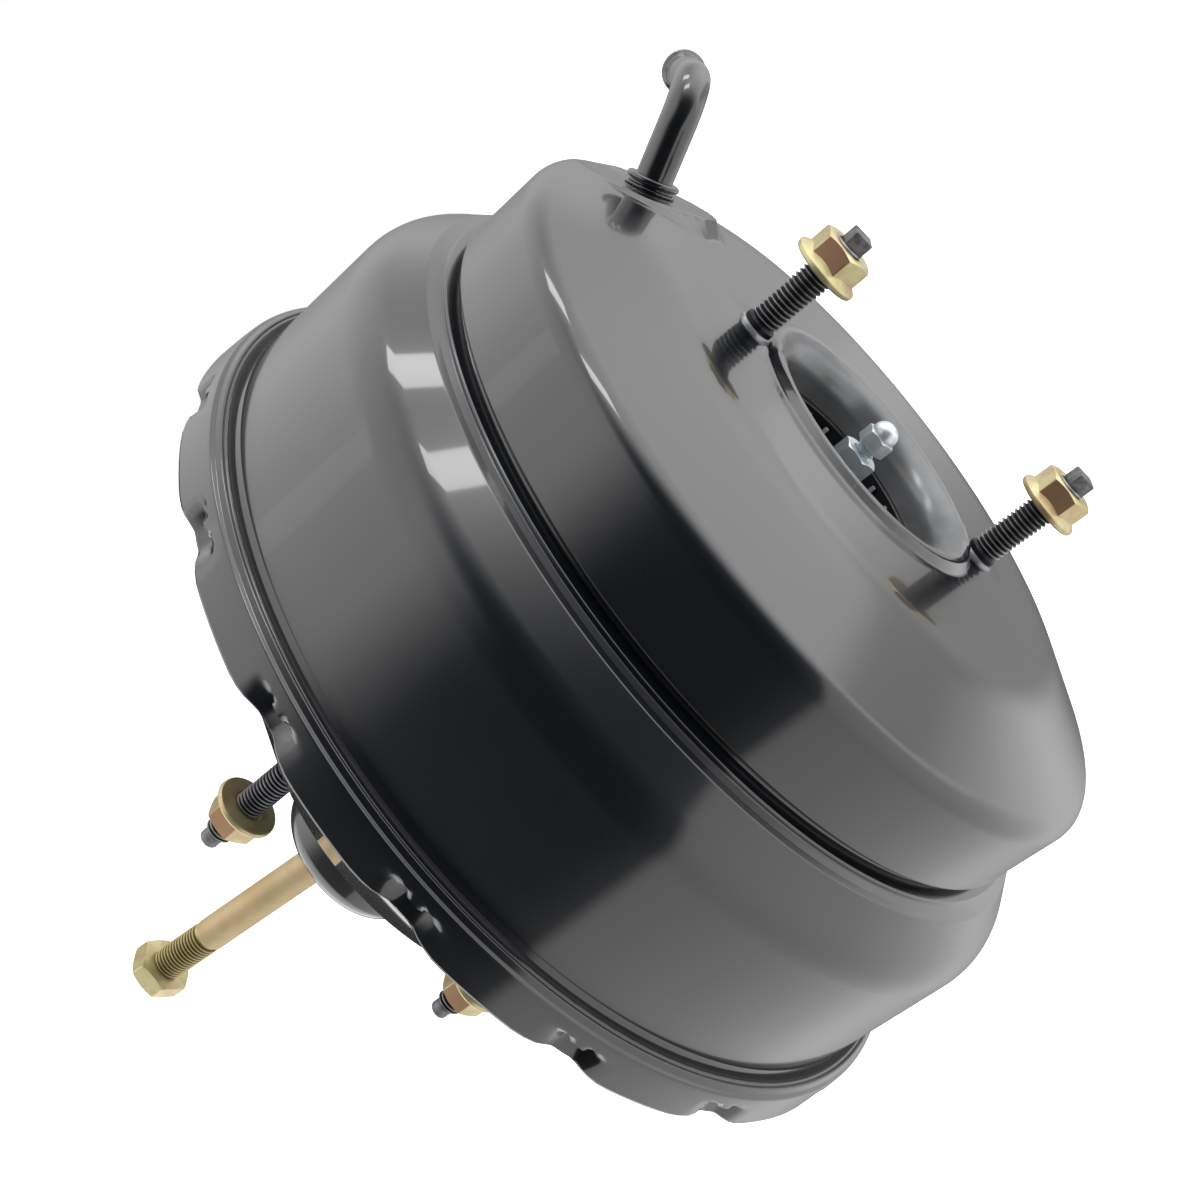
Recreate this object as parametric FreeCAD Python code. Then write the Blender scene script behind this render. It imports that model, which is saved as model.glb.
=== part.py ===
import FreeCAD, Part
import math
import os

# Tandem vacuum brake booster, in millimetres.
# The axis of the booster is X, pointing forward to the master cylinder; Z is up.
# The origin is the centre of the firewall face of the rear shell.

V = FreeCAD.Vector

# Clearance between pieces that touch, and the tightest bend of a pressed sheet
touch = 0.05
least_bend = 0.3

# Front shell, a deep stamping
shell_wall = 1.8
face_x = 153.5
lip_rise = 2.0
opening_r = 27.5
lip_width = 5.5
collar_depth = 11.5
band_r = 100.0
band_back_x = 118.0
corner_x = 137.7
cone_angle = 26.0
face_bend = 32.0
corner_bend = 6.0
groove_width = 2.0
groove_depth = 2.6
ridge_rise = 1.8
ridge_width = 1.9
ridge_dip = 0.5
ridge_second_rise = 1.5
shoulder_x = 113.0
shoulder_angle = 42.0
shoulder_bend = 15.6
shoulder_rise = 5.0
drum_step = 14.5

# Crimped flange and its skirt
flange_x = 58.0
bead_width = 2.8
flange_rise = 4.3
flange_front_gap = 2.0
flange_run_in = 1.8
flange_notch_back = 1.3
flange_notch_depth = 0.5
skirt_back_x = 48.0
skirt_flare = 2.4
skirt_wall = 1.6
rim_wall = 1.6
rim_gap = 0.2
lance_count = 16
lance_phase = 6.0
lance_half_width = 5.4
lance_drop = 5.2
scallop_r = 11.0
scallop_bite = 2.4
tongue_rise = 2.6
lip_land = 3.0
seat_flare = 1.2

# Rear shell, with its firewall face at x = 0
dish_x = 28.0
dish_r = 96.0
rim_width = 9.8
firewall_r = 62.0
dish_bend = 12.0
firewall_bend = 8.0
neck_r = 23.5
neck_length = 37.0
neck_hole_r = 16.5
neck_bend = 4.5

# Studs and nuts
stud_r = 4.1
stud_thread_r = 3.9
stud_neck_r = 4.4
stud_shank_length = 6.0
stud_head_r = 6.4
stud_head_height = 2.7
plate_wall = 2.5
front_stud_spacing = 82.4
front_stud_end = 182.6
front_tip_length = 3.7
front_tip_width = 5.2
rear_spacing_y = 60.0
rear_spacing_z = 82.0
rear_stud_end = -33.0
rear_tip_length = 4.0
rear_tip_r = 2.7
nut_width = 13.0
nut_height = 8.0
nut_flange_r = 8.95
nut_flange_height = 1.4
front_nut_x = 174.1
rear_nut_x = -20.0
thread_clearance = 0.05
front_plate_margin = 4.2
front_plate_hole_r = 30.4
rear_plate_r = 57.0
rear_plate_hole_r = 30.5
stud_boss_r = 8.5
stud_boss_rise = 0.25

# Vacuum tube, square to the front cone
tube_r = 4.75
tube_bore_r = 3.75
tube_station_r = 82.0
tube_turn = 29.0
tube_straight = 18.5
tube_bend = 11.0
tube_outlet = 26.0
tube_bead_rise = 1.0
tube_bead_back = 1.4
tube_bead_land = 1.6
tube_bead_slope = 1.4
tube_pad_r = 20.0
tube_pad_rise = 0.6
tube_reach_in = 4.0
ferrule_r = 6.9
ferrule_height = 3.2

# Ribbed ring behind the front opening
ring_bore_r = 25.6
ring_to_piston = 1.2
ring_clip_r = 30.2
ring_clip_length = 4.0
ring_rib_count = 24
ring_rib_height = 1.0
ring_rib_width = 1.3

# Divider between the chambers
divider_wall = 1.6
divider_rim_x = 110.2
divider_rim_step = 8.0
divider_disc_x = 98.0
divider_disc_step = 12.0
divider_cup_r = 25.0
divider_cup_depth = 7.0
divider_rim_gap = 0.25

# Power piston
sleeve_r = 19.5
slide_clearance = 0.08
stroke = 26.0
diaphragm_wall = 1.8
diaphragm_rim_gap = 0.3
diaphragm_crest = 9.0
diaphragm_bead_height = 3.8
front_bead_inset = 1.0
bead_gap = 0.1
support_wall = 1.6
support_bend = 5.0
valve_back_x = -31.0
valve_flange_x = 47.0
valve_flange_r = 32.0
valve_flange_width = 6.0
nose_r = 16.0
nose_front_x = 66.0
sleeve_bore_r = 13.0
sleeve_foot_r = 28.0
sleeve_foot_width = 3.6
sleeve_head_x = 100.6
sleeve_head_r = 30.0
sleeve_head_width = 3.0
sleeve_spigot_r = 17.0
sleeve_front_x = 110.0
rear_roll_room = 10.5
rear_support_land = 30.0
rear_support_rake = 3.0
front_roll_room = 15.0
front_support_land = 15.0
front_support_rake = 3.0
retainer_width = 3.2
retainer_r = 21.5

# Control valve inside the valve body
back_bore_r = 15.6
chamber_bore_r = 13.6
bead_step_x = 1.6
seat_x = 12.0
seat_lip_r = 11.0
seat_lip_height = 1.4
head_bore_r = 9.4
head_bore_depth = 5.0
guide_bore_r = 7.2
tip_bore_r = 5.1
guide_end_x = 45.0
reaction_bore_r = 12.05
reaction_floor_x = 52.0
reaction_thick = 5.0
port_width = 8.0
port_floor_x = 43.0
valve_travel = 1.6
plunger_head_r = 8.8
plunger_head_length = 3.2
plunger_neck_r = 4.0
plunger_neck_x = 31.8
plunger_neck_length = 5.0
plunger_front_x = 44.0
plunger_tip_x = 51.4
key_wall = 2.4
key_width = 14.0
key_reach = 11.0
seat_gap = 0.1

# Pedal rod, with its ball in the plunger
ball_x = 23.0
ball_r = 5.0
ball_gap = 0.1
rod_neck_r = 3.2
rod_neck_length = 15.0
rod_r = 5.0
rod_end = 141.0
rod_collar_x = 43.0
rod_collar_r = 8.2
rod_collar_width = 1.5
rod_tilt = 3.3
rod_swing = 4.0
pedal_nut_width = 16.0
pedal_nut_height = 6.0
pedal_nut_back = 1.5

# Output rod and its adjusting screw
output_base_width = 4.0
output_r = 5.0
output_hex_x = 146.4
output_hex_width = 11.0
output_hex_height = 6.4
screw_r = 3.0
screw_depth = 14.0
screw_hex_width = 8.0
screw_hex_height = 4.4
screw_gap = 0.6
screw_dome_r = 3.5
screw_tip_x = 161.3

# Springs
main_wire = 3.0
main_big_r = 46.0
main_small_r = 32.6
main_turns = 4.0
poppet_wire = 1.2
poppet_coil_r = 9.6
poppet_turns = 4.0
rod_wire = 1.6
rod_coil_r = 7.2
rod_turns = 5.0
spring_gap = 0.1

# Seals, guide and filter in the rear neck
seal_length = 6.2
seal_r = 30.0
guide_length = 9.8
seal_cap_r = 34.0
seal_cap_wall = 1.4
retainer_tube_length = 6.5
retainer_tube_wall = 0.9
poppet_retainer_wall = 1.4
poppet_bead = 3.0
poppet_face = 1.9
poppet_bore_r = 6.6
filter_length = 6.5
filter_bore_r = 9.4
silencer_length = 13.0
silencer_bore_r = 11.8
filter_cap_length = 1.5

cone = math.radians(cone_angle)
shoulder = math.radians(shoulder_angle)
lip_x = face_x + lip_rise
collar_back_x = lip_x - collar_depth
cone_fall = 1.0 / math.tan(cone)
drum_r = band_r + drum_step
shoulder_start_r = band_r + shoulder_rise
flange_r = drum_r + flange_rise
skirt_r = flange_r + skirt_flare
cone_top_r = band_r - (face_x - corner_x) * cone_fall
front_plate_r = cone_top_r - face_bend * math.tan(cone / 2) - front_plate_margin
divider_rim_land = band_r - divider_rim_step
divider_disc_r = band_r - divider_disc_step
front_support_r = band_r - front_roll_room
front_support_flat_r = front_support_r - front_support_land
rear_support_r = drum_r - rear_roll_room
rear_support_flat_r = rear_support_r - rear_support_land
drum_inner_r = drum_r - shell_wall
neck_inner_r = neck_r - rim_wall
valve_flange_front = valve_flange_x + valve_flange_width
rear_support_x = valve_flange_front + diaphragm_wall
sleeve_back_x = rear_support_x + support_wall
front_support_x = sleeve_head_x + sleeve_head_width + diaphragm_wall
ring_back_x = front_support_x + support_wall + stroke + ring_to_piston
ball = V(ball_x, 0, 0)


def corners(points):
    """Edges of a loop of (x, r, bend) corners, each rounded to its bend."""
    count = len(points)
    places = [V(p[0], 0, p[1]) for p in points]
    ends = []
    arcs = {}
    for i in range(count):
        bend = points[i][2]
        here = places[i]
        if bend <= 0:
            ends.append((here, here))
            continue
        before = (here - places[i - 1]).normalize()
        after = (places[(i + 1) % count] - here).normalize()
        half_turn = before.getAngle(after) / 2
        reach = bend * math.tan(half_turn)
        start = here - before * reach
        end = here + after * reach
        inward = (after - before).normalize()
        middle = here + inward * (bend / math.cos(half_turn) - bend)
        ends.append((start, end))
        arcs[i] = Part.Arc(start, middle, end).toShape()
    chain = []
    for i in range(count):
        if i in arcs:
            chain.append(arcs[i])
        a = ends[i][1]
        b = ends[(i + 1) % count][0]
        if (b - a).Length > 1e-6:
            chain.append(Part.LineSegment(a, b).toShape())
    return chain


def turned(points):
    """Solid of revolution about X from a closed loop of (x, r, bend) corners."""
    face = Part.Face(Part.Wire(corners(points)))
    return face.revolve(V(0, 0, 0), V(1, 0, 0), 360)


def tube_of(x0, x1, r_in, r_out):
    """Plain ring from x0 to x1."""
    ring = Part.makeCylinder(r_out, x1 - x0, V(x0, 0, 0), V(1, 0, 0))
    if r_in > 0:
        ring = ring.cut(Part.makeCylinder(r_in, x1 - x0, V(x0, 0, 0), V(1, 0, 0)))
    return ring


def inset(points, wall):
    """The same run of corners moved sideways by a sheet's wall, to the left of the run."""
    places = [V(p[0], 0, p[1]) for p in points]
    lines = []
    for a, b in zip(places, places[1:]):
        along = (b - a).normalize()
        side = V(-along.z, 0, along.x)
        lines.append((a + side * wall, along, side))
    moved = []
    for i, (x, r, bend) in enumerate(points):
        if i == 0:
            p = lines[0][0]
        elif i == len(points) - 1:
            p = places[-1] + lines[-1][2] * wall
        else:
            p0, d0, _ = lines[i - 1]
            p1, d1, _ = lines[i]
            cross = d0.x * d1.z - d0.z * d1.x
            t = ((p1.x - p0.x) * d1.z - (p1.z - p0.z) * d1.x) / cross
            p = p0 + d0 * t
            if bend > 0:
                bend = max(bend - math.copysign(wall, wall * cross), least_bend)
        moved.append((p.x, p.z, bend))
    return moved


def hexagon(width, x0, height):
    """Hexagonal prism along X."""
    r = width / math.sqrt(3)
    ring = [V(x0, r * math.cos(math.radians(60 * k)), r * math.sin(math.radians(60 * k))) for k in range(7)]
    return Part.Face(Part.makePolygon(ring)).extrude(V(height, 0, 0))


def at_angle(shape, degrees):
    """A copy turned about X; 0 is +Y and 90 is +Z."""
    copy = shape.copy()
    copy.rotate(V(0, 0, 0), V(1, 0, 0), degrees)
    return copy


def slab(points, half_width):
    """Prism of an (x, r) outline standing at +Y, half_width to either side."""
    ring = [V(x, r, -half_width) for x, r in points]
    ring.append(ring[0])
    return Part.Face(Part.makePolygon(ring)).extrude(V(0, 0, 2 * half_width))


def tilted(shape):
    """Turns the pedal rod and what is on it about the ball, to where it hangs."""
    copy = shape.copy()
    copy.rotate(ball, V(0, 1, 0), rod_tilt)
    return copy


# Front shell
corners_before_groove_count = 8
shell_run = [
    (collar_back_x, opening_r, 0),
    (lip_x, opening_r, 2.0),
    (lip_x, opening_r + lip_width, 2.0),
    (face_x, opening_r + lip_width + lip_land, 2.6),
    (face_x, cone_top_r, face_bend),
    (corner_x, band_r, corner_bend),
    (band_back_x, band_r, 0.9),
    (band_back_x - 0.4, band_r - groove_depth, 0.7),
    (band_back_x - groove_width, band_r - groove_depth, 0.7),
    (shoulder_x, shoulder_start_r, 1.0),
    (shoulder_x - (drum_r - shoulder_start_r) / math.tan(shoulder), drum_r, shoulder_bend),
    (flange_x + bead_width + flange_front_gap + touch, drum_r, 0),
]


def shell_inside():
    """Corners of the front shell's inner surface, from the collar to the drum."""
    return inset(shell_run, shell_wall)[:-1]


def shell_outside():
    """Corners of the outer surface, with the double ridge beside the groove and the flange beads."""
    ridge_x = band_back_x - groove_width - ridge_width / 3
    flange_front = flange_x + bead_width + flange_front_gap
    notch_x = flange_front - flange_notch_back
    outside = shell_run[:9]
    outside += [
        (ridge_x, band_r + ridge_rise, 0.5),
        (ridge_x - ridge_width * 0.6, band_r + ridge_rise - ridge_dip, 0.4),
        (ridge_x - ridge_width, band_r + ridge_rise + ridge_second_rise, 0.5),
    ]
    outside += shell_run[9:11]
    outside += [
        (flange_front + flange_run_in, drum_r, 1.5),
        (flange_front, flange_r, 0.6),
        (notch_x, flange_r, 0.3),
        (notch_x - flange_notch_depth, flange_r - flange_notch_depth, 0.3),
        (notch_x - 2 * flange_notch_depth, flange_r + flange_notch_depth, 0.5),
        (skirt_back_x, skirt_r, 0),
    ]
    return outside


def front_shell():
    """The deep stamping with face, cone, band, shoulder, drum, flange and lanced skirt."""
    seat_front = flange_x + bead_width
    seat_r = flange_r - shell_wall
    flange_inside = [
        (skirt_back_x, skirt_r - skirt_wall, 0),
        (flange_x - rim_wall - rim_gap, seat_r + seat_flare, 0.5),
        (flange_x - rim_wall, seat_r, 0),
        (seat_front, seat_r, 0.4),
        (seat_front, drum_inner_r, 0.8),
    ]
    loop = shell_outside() + flange_inside + list(reversed(shell_inside()))
    shell = turned(loop)
    for side in (1, -1):
        boss = Part.makeCylinder(stud_boss_r, stud_boss_rise + shell_wall / 2,
                                 V(face_x - shell_wall / 2, 0, side * front_stud_spacing / 2), V(1, 0, 0))
        shell = shell.fuse(boss)
    shell = shell.fuse(tube_pad())
    holes = [tube_hole()]
    for side in (1, -1):
        holes.append(Part.makeCylinder(stud_neck_r, 8 * shell_wall,
                                       V(face_x - 4 * shell_wall, 0, side * front_stud_spacing / 2), V(1, 0, 0)))
    shell = shell.cut(Part.makeCompound(holes))
    return lanced(shell)


def lanced(shell):
    """Presses the lances of the crimp into the skirt and scallops its rear edge between them."""
    front = flange_x - rim_wall - rim_gap
    top = skirt_r + lip_land
    deep = flange_r - lance_drop
    seat = skirt_r - tongue_rise
    tongue_outside = [(skirt_back_x - 2, seat), (front + 0.2, deep), (front + 0.2, top), (skirt_back_x - 2, top)]
    tongue_inside = [(skirt_back_x + 0.6, seat - 0.5 - skirt_wall), (front, deep - skirt_wall),
                     (front, flange_r - 0.6), (skirt_back_x + 0.6, skirt_r - 0.4)]
    hollow = slab(tongue_outside, lance_half_width)
    body = slab(tongue_inside, lance_half_width + skirt_wall).cut(hollow)
    bite_x = skirt_back_x + scallop_bite - scallop_r
    bite = Part.makeCylinder(scallop_r, 2 * scallop_r, V(bite_x, skirt_r - scallop_r, 0), V(0, 1, 0))
    hollows = []
    bodies = []
    for k in range(lance_count):
        turn = lance_phase + k * 360.0 / lance_count
        hollows.append(at_angle(hollow, turn))
        hollows.append(at_angle(bite, turn))
        bodies.append(at_angle(body.cut(bite), turn))
    shell = shell.cut(Part.makeCompound(hollows))
    return shell.fuse(bodies).removeSplitter()


def tube_axis():
    """Base point of the vacuum tube on the cone, its direction and that of its outlet."""
    turn = math.radians(tube_turn)
    out = V(0, math.sin(turn), math.cos(turn))
    base_x = corner_x + (band_r - tube_station_r) / cone_fall
    base = V(base_x, 0, 0) + out * tube_station_r
    along = V(math.cos(cone), 0, 0) + out * math.sin(cone)
    sideways = V(0, 1, 0) - along * along.y
    return base, along, sideways.normalize()


def tube_pad():
    """Flat round pad on the cone that the tube stands on."""
    base, along, outlet = tube_axis()
    return Part.makeCylinder(tube_pad_r, tube_pad_rise + shell_wall * 0.6, base - along * (shell_wall * 0.6), along)


def tube_hole():
    base, along, outlet = tube_axis()
    return Part.makeCylinder(tube_r, 2 * tube_bend, base - along * tube_bend, along)


def vacuum_tube():
    """Steel tube with one tight elbow and a hose bead near its open end."""
    base, along, outlet = tube_axis()
    elbow = base + along * tube_straight
    pivot = elbow + outlet * tube_bend
    end = pivot + along * tube_bend
    across = along.cross(outlet)

    def solid(r):
        lower = Part.makeCylinder(r, tube_straight + tube_reach_in, base - along * tube_reach_in, along)
        ring = Part.Face(Part.Wire(Part.makeCircle(r, elbow, along)))
        bend = ring.revolve(pivot, across, 90)
        upper = Part.makeCylinder(r, tube_outlet, end, outlet)
        return lower.fuse([bend, upper])

    bead_r = tube_r + tube_bead_rise
    land_end = end + outlet * (tube_outlet - tube_bead_back)
    land_start = land_end - outlet * tube_bead_land
    land = Part.makeCylinder(bead_r, tube_bead_land, land_start, outlet)
    slopes = [
        Part.makeCone(tube_r, bead_r, tube_bead_slope, land_start - outlet * tube_bead_slope, outlet),
        Part.makeCone(bead_r, tube_r, tube_bead_slope, land_end, outlet),
    ]
    return solid(tube_r).fuse([land] + slopes).cut(solid(tube_bore_r))


def tube_ferrule():
    """Two stacked collars brazed round the foot of the tube."""
    base, along, outlet = tube_axis()
    foot = base + along * (tube_pad_rise + touch)
    low = Part.makeCylinder(ferrule_r - 0.5, ferrule_height, foot, along)
    top = Part.makeCylinder(ferrule_r, ferrule_height * 0.4, foot + along * (ferrule_height * 0.3), along)
    bore = Part.makeCylinder(tube_r, ferrule_height * 2, foot - along, along)
    return low.fuse(top).cut(bore)


# Rear shell
rear_run = [
    (flange_x - rim_wall, flange_r - shell_wall - rim_gap, 0),
    (flange_x - rim_wall, flange_r - rim_width, 3.0),
    (dish_x, dish_r, dish_bend),
    (0, firewall_r, firewall_bend),
    (0, neck_r, 3.0),
    (-neck_length, neck_r, neck_bend),
    (-neck_length, neck_hole_r, 0),
]


def rear_shell():
    """Dished rear shell whose rim seats in the front shell, with firewall face and drawn neck."""
    inside = inset(rear_run, rim_wall)
    shell = turned(rear_run + list(reversed(inside)))
    return shell.cut(Part.makeCompound([stud_hole(y, z) for y, z in rear_stud_places()]))


def rear_stud_places():
    return [(y * rear_spacing_y / 2, z * rear_spacing_z / 2) for y in (-1, 1) for z in (-1, 1)]


def front_stud_places():
    return [(0, -front_stud_spacing / 2), (0, front_stud_spacing / 2)]


def stud_hole(y, z):
    return Part.makeCylinder(stud_neck_r, 4 * dish_bend, V(-dish_bend, y, z), V(1, 0, 0))


def front_studs():
    """Two studs: head inside the shell, pressed neck, plain shank, thread and square drive tip."""
    inner = face_x - shell_wall - plate_wall
    boss_x = face_x + stud_boss_rise
    studs = []
    for y, z in front_stud_places():
        head = Part.makeCylinder(stud_head_r, stud_head_height, V(inner - stud_head_height, y, z), V(1, 0, 0))
        neck = Part.makeCylinder(stud_neck_r, boss_x - inner, V(inner, y, z), V(1, 0, 0))
        shank = Part.makeCylinder(stud_r, stud_shank_length, V(boss_x, y, z), V(1, 0, 0))
        thread = Part.makeCylinder(stud_thread_r, front_stud_end - boss_x, V(boss_x, y, z), V(1, 0, 0))
        half = front_tip_width / 2
        tip = Part.makeBox(front_tip_length, front_tip_width, front_tip_width, V(front_stud_end, y - half, z - half))
        tip = tip.common(Part.makeCylinder(half * 1.25, front_tip_length, V(front_stud_end, y, z), V(1, 0, 0)))
        studs.append(head.fuse([neck, shank, thread, tip]))
    return Part.makeCompound(studs)


def rear_studs():
    """Four studs: head inside the rear shell, pressed neck, plain shank, thread and round dog point."""
    inner = rim_wall + plate_wall
    studs = []
    for y, z in rear_stud_places():
        head = Part.makeCylinder(stud_head_r, stud_head_height, V(inner, y, z), V(1, 0, 0))
        neck = Part.makeCylinder(stud_neck_r, inner, V(0, y, z), V(1, 0, 0))
        shank = Part.makeCylinder(stud_r, stud_shank_length, V(-stud_shank_length, y, z), V(1, 0, 0))
        thread = Part.makeCylinder(stud_thread_r, -rear_stud_end, V(rear_stud_end, y, z), V(1, 0, 0))
        tip = Part.makeCylinder(rear_tip_r, rear_tip_length, V(rear_stud_end - rear_tip_length, y, z), V(1, 0, 0))
        studs.append(head.fuse([neck, shank, thread, tip]))
    return Part.makeCompound(studs)


def flange_nut(x, direction):
    """Hexagon nut whose flange face is at x and whose body runs away from it in the given direction."""
    end = V(direction, 0, 0)
    flange = Part.makeCylinder(nut_flange_r, nut_flange_height, V(x, 0, 0), end)
    skirt = Part.makeCone(nut_flange_r, nut_width / 2, 1.8, V(x + direction * nut_flange_height, 0, 0), end)
    body = hexagon(nut_width, min(x, x + direction * nut_height), nut_height)
    r = nut_width / math.sqrt(3)
    crown_r = r + nut_height - 0.9
    crown = Part.makeCone(crown_r, crown_r - nut_height, nut_height, V(x, 0, 0), end)
    bore_r = stud_thread_r + thread_clearance
    bore = tube_of(x - 2 * nut_height, x + 2 * nut_height, 0, bore_r)
    return flange.fuse([skirt, body.common(crown)]).cut(bore)


def nuts(places, x, direction):
    one = flange_nut(x, direction)
    group = []
    for y, z in places:
        copy = one.copy()
        copy.translate(V(0, y, z))
        group.append(copy)
    return Part.makeCompound(group)


def stud_plate(x0, hole_r, outer_r, places):
    """Round backing plate that spreads the load of the studs."""
    plate = tube_of(x0, x0 + plate_wall, hole_r, outer_r)
    holes = [Part.makeCylinder(stud_neck_r, 4 * plate_wall, V(x0 - plate_wall, y, z), V(1, 0, 0))
             for y, z in places]
    return plate.cut(Part.makeCompound(holes))


def ribbed_ring():
    """Moulded ring clipped behind the opening, with ribs along its bore."""
    clip_front = collar_back_x + ring_clip_length
    collar_r = opening_r + shell_wall
    ring = turned([
        (ring_back_x, ring_bore_r, 0),
        (collar_back_x, ring_bore_r, 0.6),
        (collar_back_x, collar_r, 0),
        (clip_front, collar_r, 0),
        (clip_front, ring_clip_r, 0),
        (ring_back_x, ring_clip_r, 1.2),
    ])
    rib = slab([(ring_back_x, ring_bore_r + 0.5), (collar_back_x - 1, ring_bore_r + 0.5),
                (collar_back_x - 2, ring_bore_r - ring_rib_height), (ring_back_x, ring_bore_r - ring_rib_height)],
               ring_rib_width / 2)
    ribs = [at_angle(rib, k * 360.0 / ring_rib_count) for k in range(ring_rib_count)]
    return ring.fuse(ribs).removeSplitter()


def inner_leg(start):
    """Ends of one straight leg of the front shell's inner surface, from the given corner on."""
    run = inset(shell_run, shell_wall)
    return run[start], run[start + 1]


def leg_r(leg, x):
    """Radius of a leg at a place along the axis."""
    (x0, r0, bend0), (x1, r1, bend1) = leg
    return r0 + (r1 - r0) * (x - x0) / (x1 - x0)


def leg_x(leg, r):
    """Place along the axis where a leg has a radius."""
    (x0, r0, bend0), (x1, r1, bend1) = leg
    return x0 + (x1 - x0) * (r - r0) / (r1 - r0)


def divider_rim_r():
    """Radius of the divider's rim, which seats in the corner behind the groove."""
    by_groove = leg_r(inner_leg(corners_before_groove_count), divider_rim_x + divider_wall)
    by_shoulder = leg_r(inner_leg(corners_before_groove_count + 1), divider_rim_x)
    return min(by_groove, by_shoulder) - divider_rim_gap


def divider():
    """Fixed wall between the two chambers, dished back to a cup for its seal."""
    run = [
        (divider_rim_x, divider_rim_r(), 0),
        (divider_rim_x, divider_rim_land, 2.0),
        (divider_disc_x, divider_disc_r, 3.6),
        (divider_disc_x, divider_cup_r + divider_wall, 2.0),
        (divider_disc_x - divider_cup_depth, divider_cup_r + divider_wall, 0),
    ]
    return turned(run + list(reversed(inset(run, divider_wall))))


def divider_seal():
    """Lip seal and bush between the divider and the hub sleeve."""
    back = divider_disc_x - divider_cup_depth
    return turned([
        (back, sleeve_r + slide_clearance, 0),
        (back, divider_cup_r, 0),
        (divider_disc_x + divider_wall, divider_cup_r, 0),
        (divider_disc_x + divider_wall, divider_cup_r - 1.4, 0.5),
        (back + 2.4, divider_cup_r - 1.4, 0.5),
        (back + 2.4, sleeve_r + 1.6, 0.5),
        (divider_disc_x, sleeve_r + 1.6, 0.5),
        (divider_disc_x, sleeve_r + slide_clearance, 0.4),
    ])


def support_run(x0, hole_r, flat_r, outer_r, rake):
    """Corners of the back face of a support plate, raked forward to its rim."""
    return [(x0, hole_r, 0), (x0, flat_r, support_bend), (x0 + rake, outer_r, 0)]


def front_support():
    return support_run(front_support_x, sleeve_spigot_r, front_support_flat_r, front_support_r, front_support_rake)


def rear_support():
    return support_run(rear_support_x, nose_r, rear_support_flat_r, rear_support_r, rear_support_rake)


def support_plate(run):
    """Pressed steel plate that carries a diaphragm."""
    return turned(run + list(reversed(inset(run, -support_wall))))


def extended(run, r):
    """The same run with its last leg made longer or shorter to end at radius r."""
    return run[:-1] + [(leg_x(run[-2:], r), r, run[-1][2])]


def diaphragm(support, crest_x, outer_r, bead_r, bead_back, bead_front):
    """Rubber sheet behind its support plate, with one roll past the rim and a bead at the wall."""
    rim_r = support[-1][1] + diaphragm_rim_gap
    front = extended(support, rim_r)
    back = extended(inset(support, diaphragm_wall), rim_r + diaphragm_wall)
    inner_x = crest_x - diaphragm_wall
    roll = [
        (inner_x, rim_r + diaphragm_wall, 1.4),
        (inner_x, outer_r - diaphragm_wall, 1.4),
        (bead_back, outer_r - diaphragm_wall, 0.5),
        (bead_back, bead_r, 0.5),
        (bead_front, bead_r, 0.5),
        (bead_front, outer_r, 0.5),
        (crest_x, outer_r, 2.6),
        (crest_x, rim_r, 2.6),
    ]
    return turned(back + roll + list(reversed(front)))


def front_diaphragm():
    """Diaphragm of the front chamber, its bead held between the divider and the groove."""
    bead_r = band_r - front_bead_inset
    bead_front = leg_x(inner_leg(corners_before_groove_count), bead_r) - bead_gap
    bead_back = divider_rim_x + divider_wall + touch
    return diaphragm(front_support(), bead_front + diaphragm_crest, bead_r - diaphragm_bead_height,
                     bead_r, bead_back, bead_front)


def rear_diaphragm():
    """Diaphragm of the rear chamber, its bead held in the crimped flange."""
    bead_r = flange_r - shell_wall - bead_gap
    bead_front = flange_x + bead_width - touch
    return diaphragm(rear_support(), bead_front + diaphragm_crest, drum_inner_r - diaphragm_rim_gap,
                     bead_r, flange_x + touch, bead_front)


def hub_sleeve():
    """Sleeve that joins the two pistons through the divider and clamps the plates at its ends."""
    return turned([
        (sleeve_back_x, nose_r, 0),
        (sleeve_back_x, sleeve_foot_r, 0.8),
        (sleeve_back_x + sleeve_foot_width, sleeve_foot_r, 0.8),
        (sleeve_back_x + sleeve_foot_width, sleeve_r, 1.0),
        (sleeve_head_x, sleeve_r, 0),
        (sleeve_head_x, sleeve_head_r, 0.8),
        (sleeve_head_x + sleeve_head_width, sleeve_head_r, 0.4),
        (sleeve_head_x + sleeve_head_width, sleeve_spigot_r, 0),
        (sleeve_front_x, sleeve_spigot_r, 0.6),
        (sleeve_front_x, sleeve_bore_r, 0.6),
        (nose_front_x, sleeve_bore_r, 0),
        (nose_front_x, nose_r, 0),
    ])


def hub_retainer():
    """Ring pressed on the sleeve's spigot that holds the front plate."""
    x0 = front_support_x + support_wall
    return tube_of(x0, x0 + retainer_width, sleeve_spigot_r, retainer_r)


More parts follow.
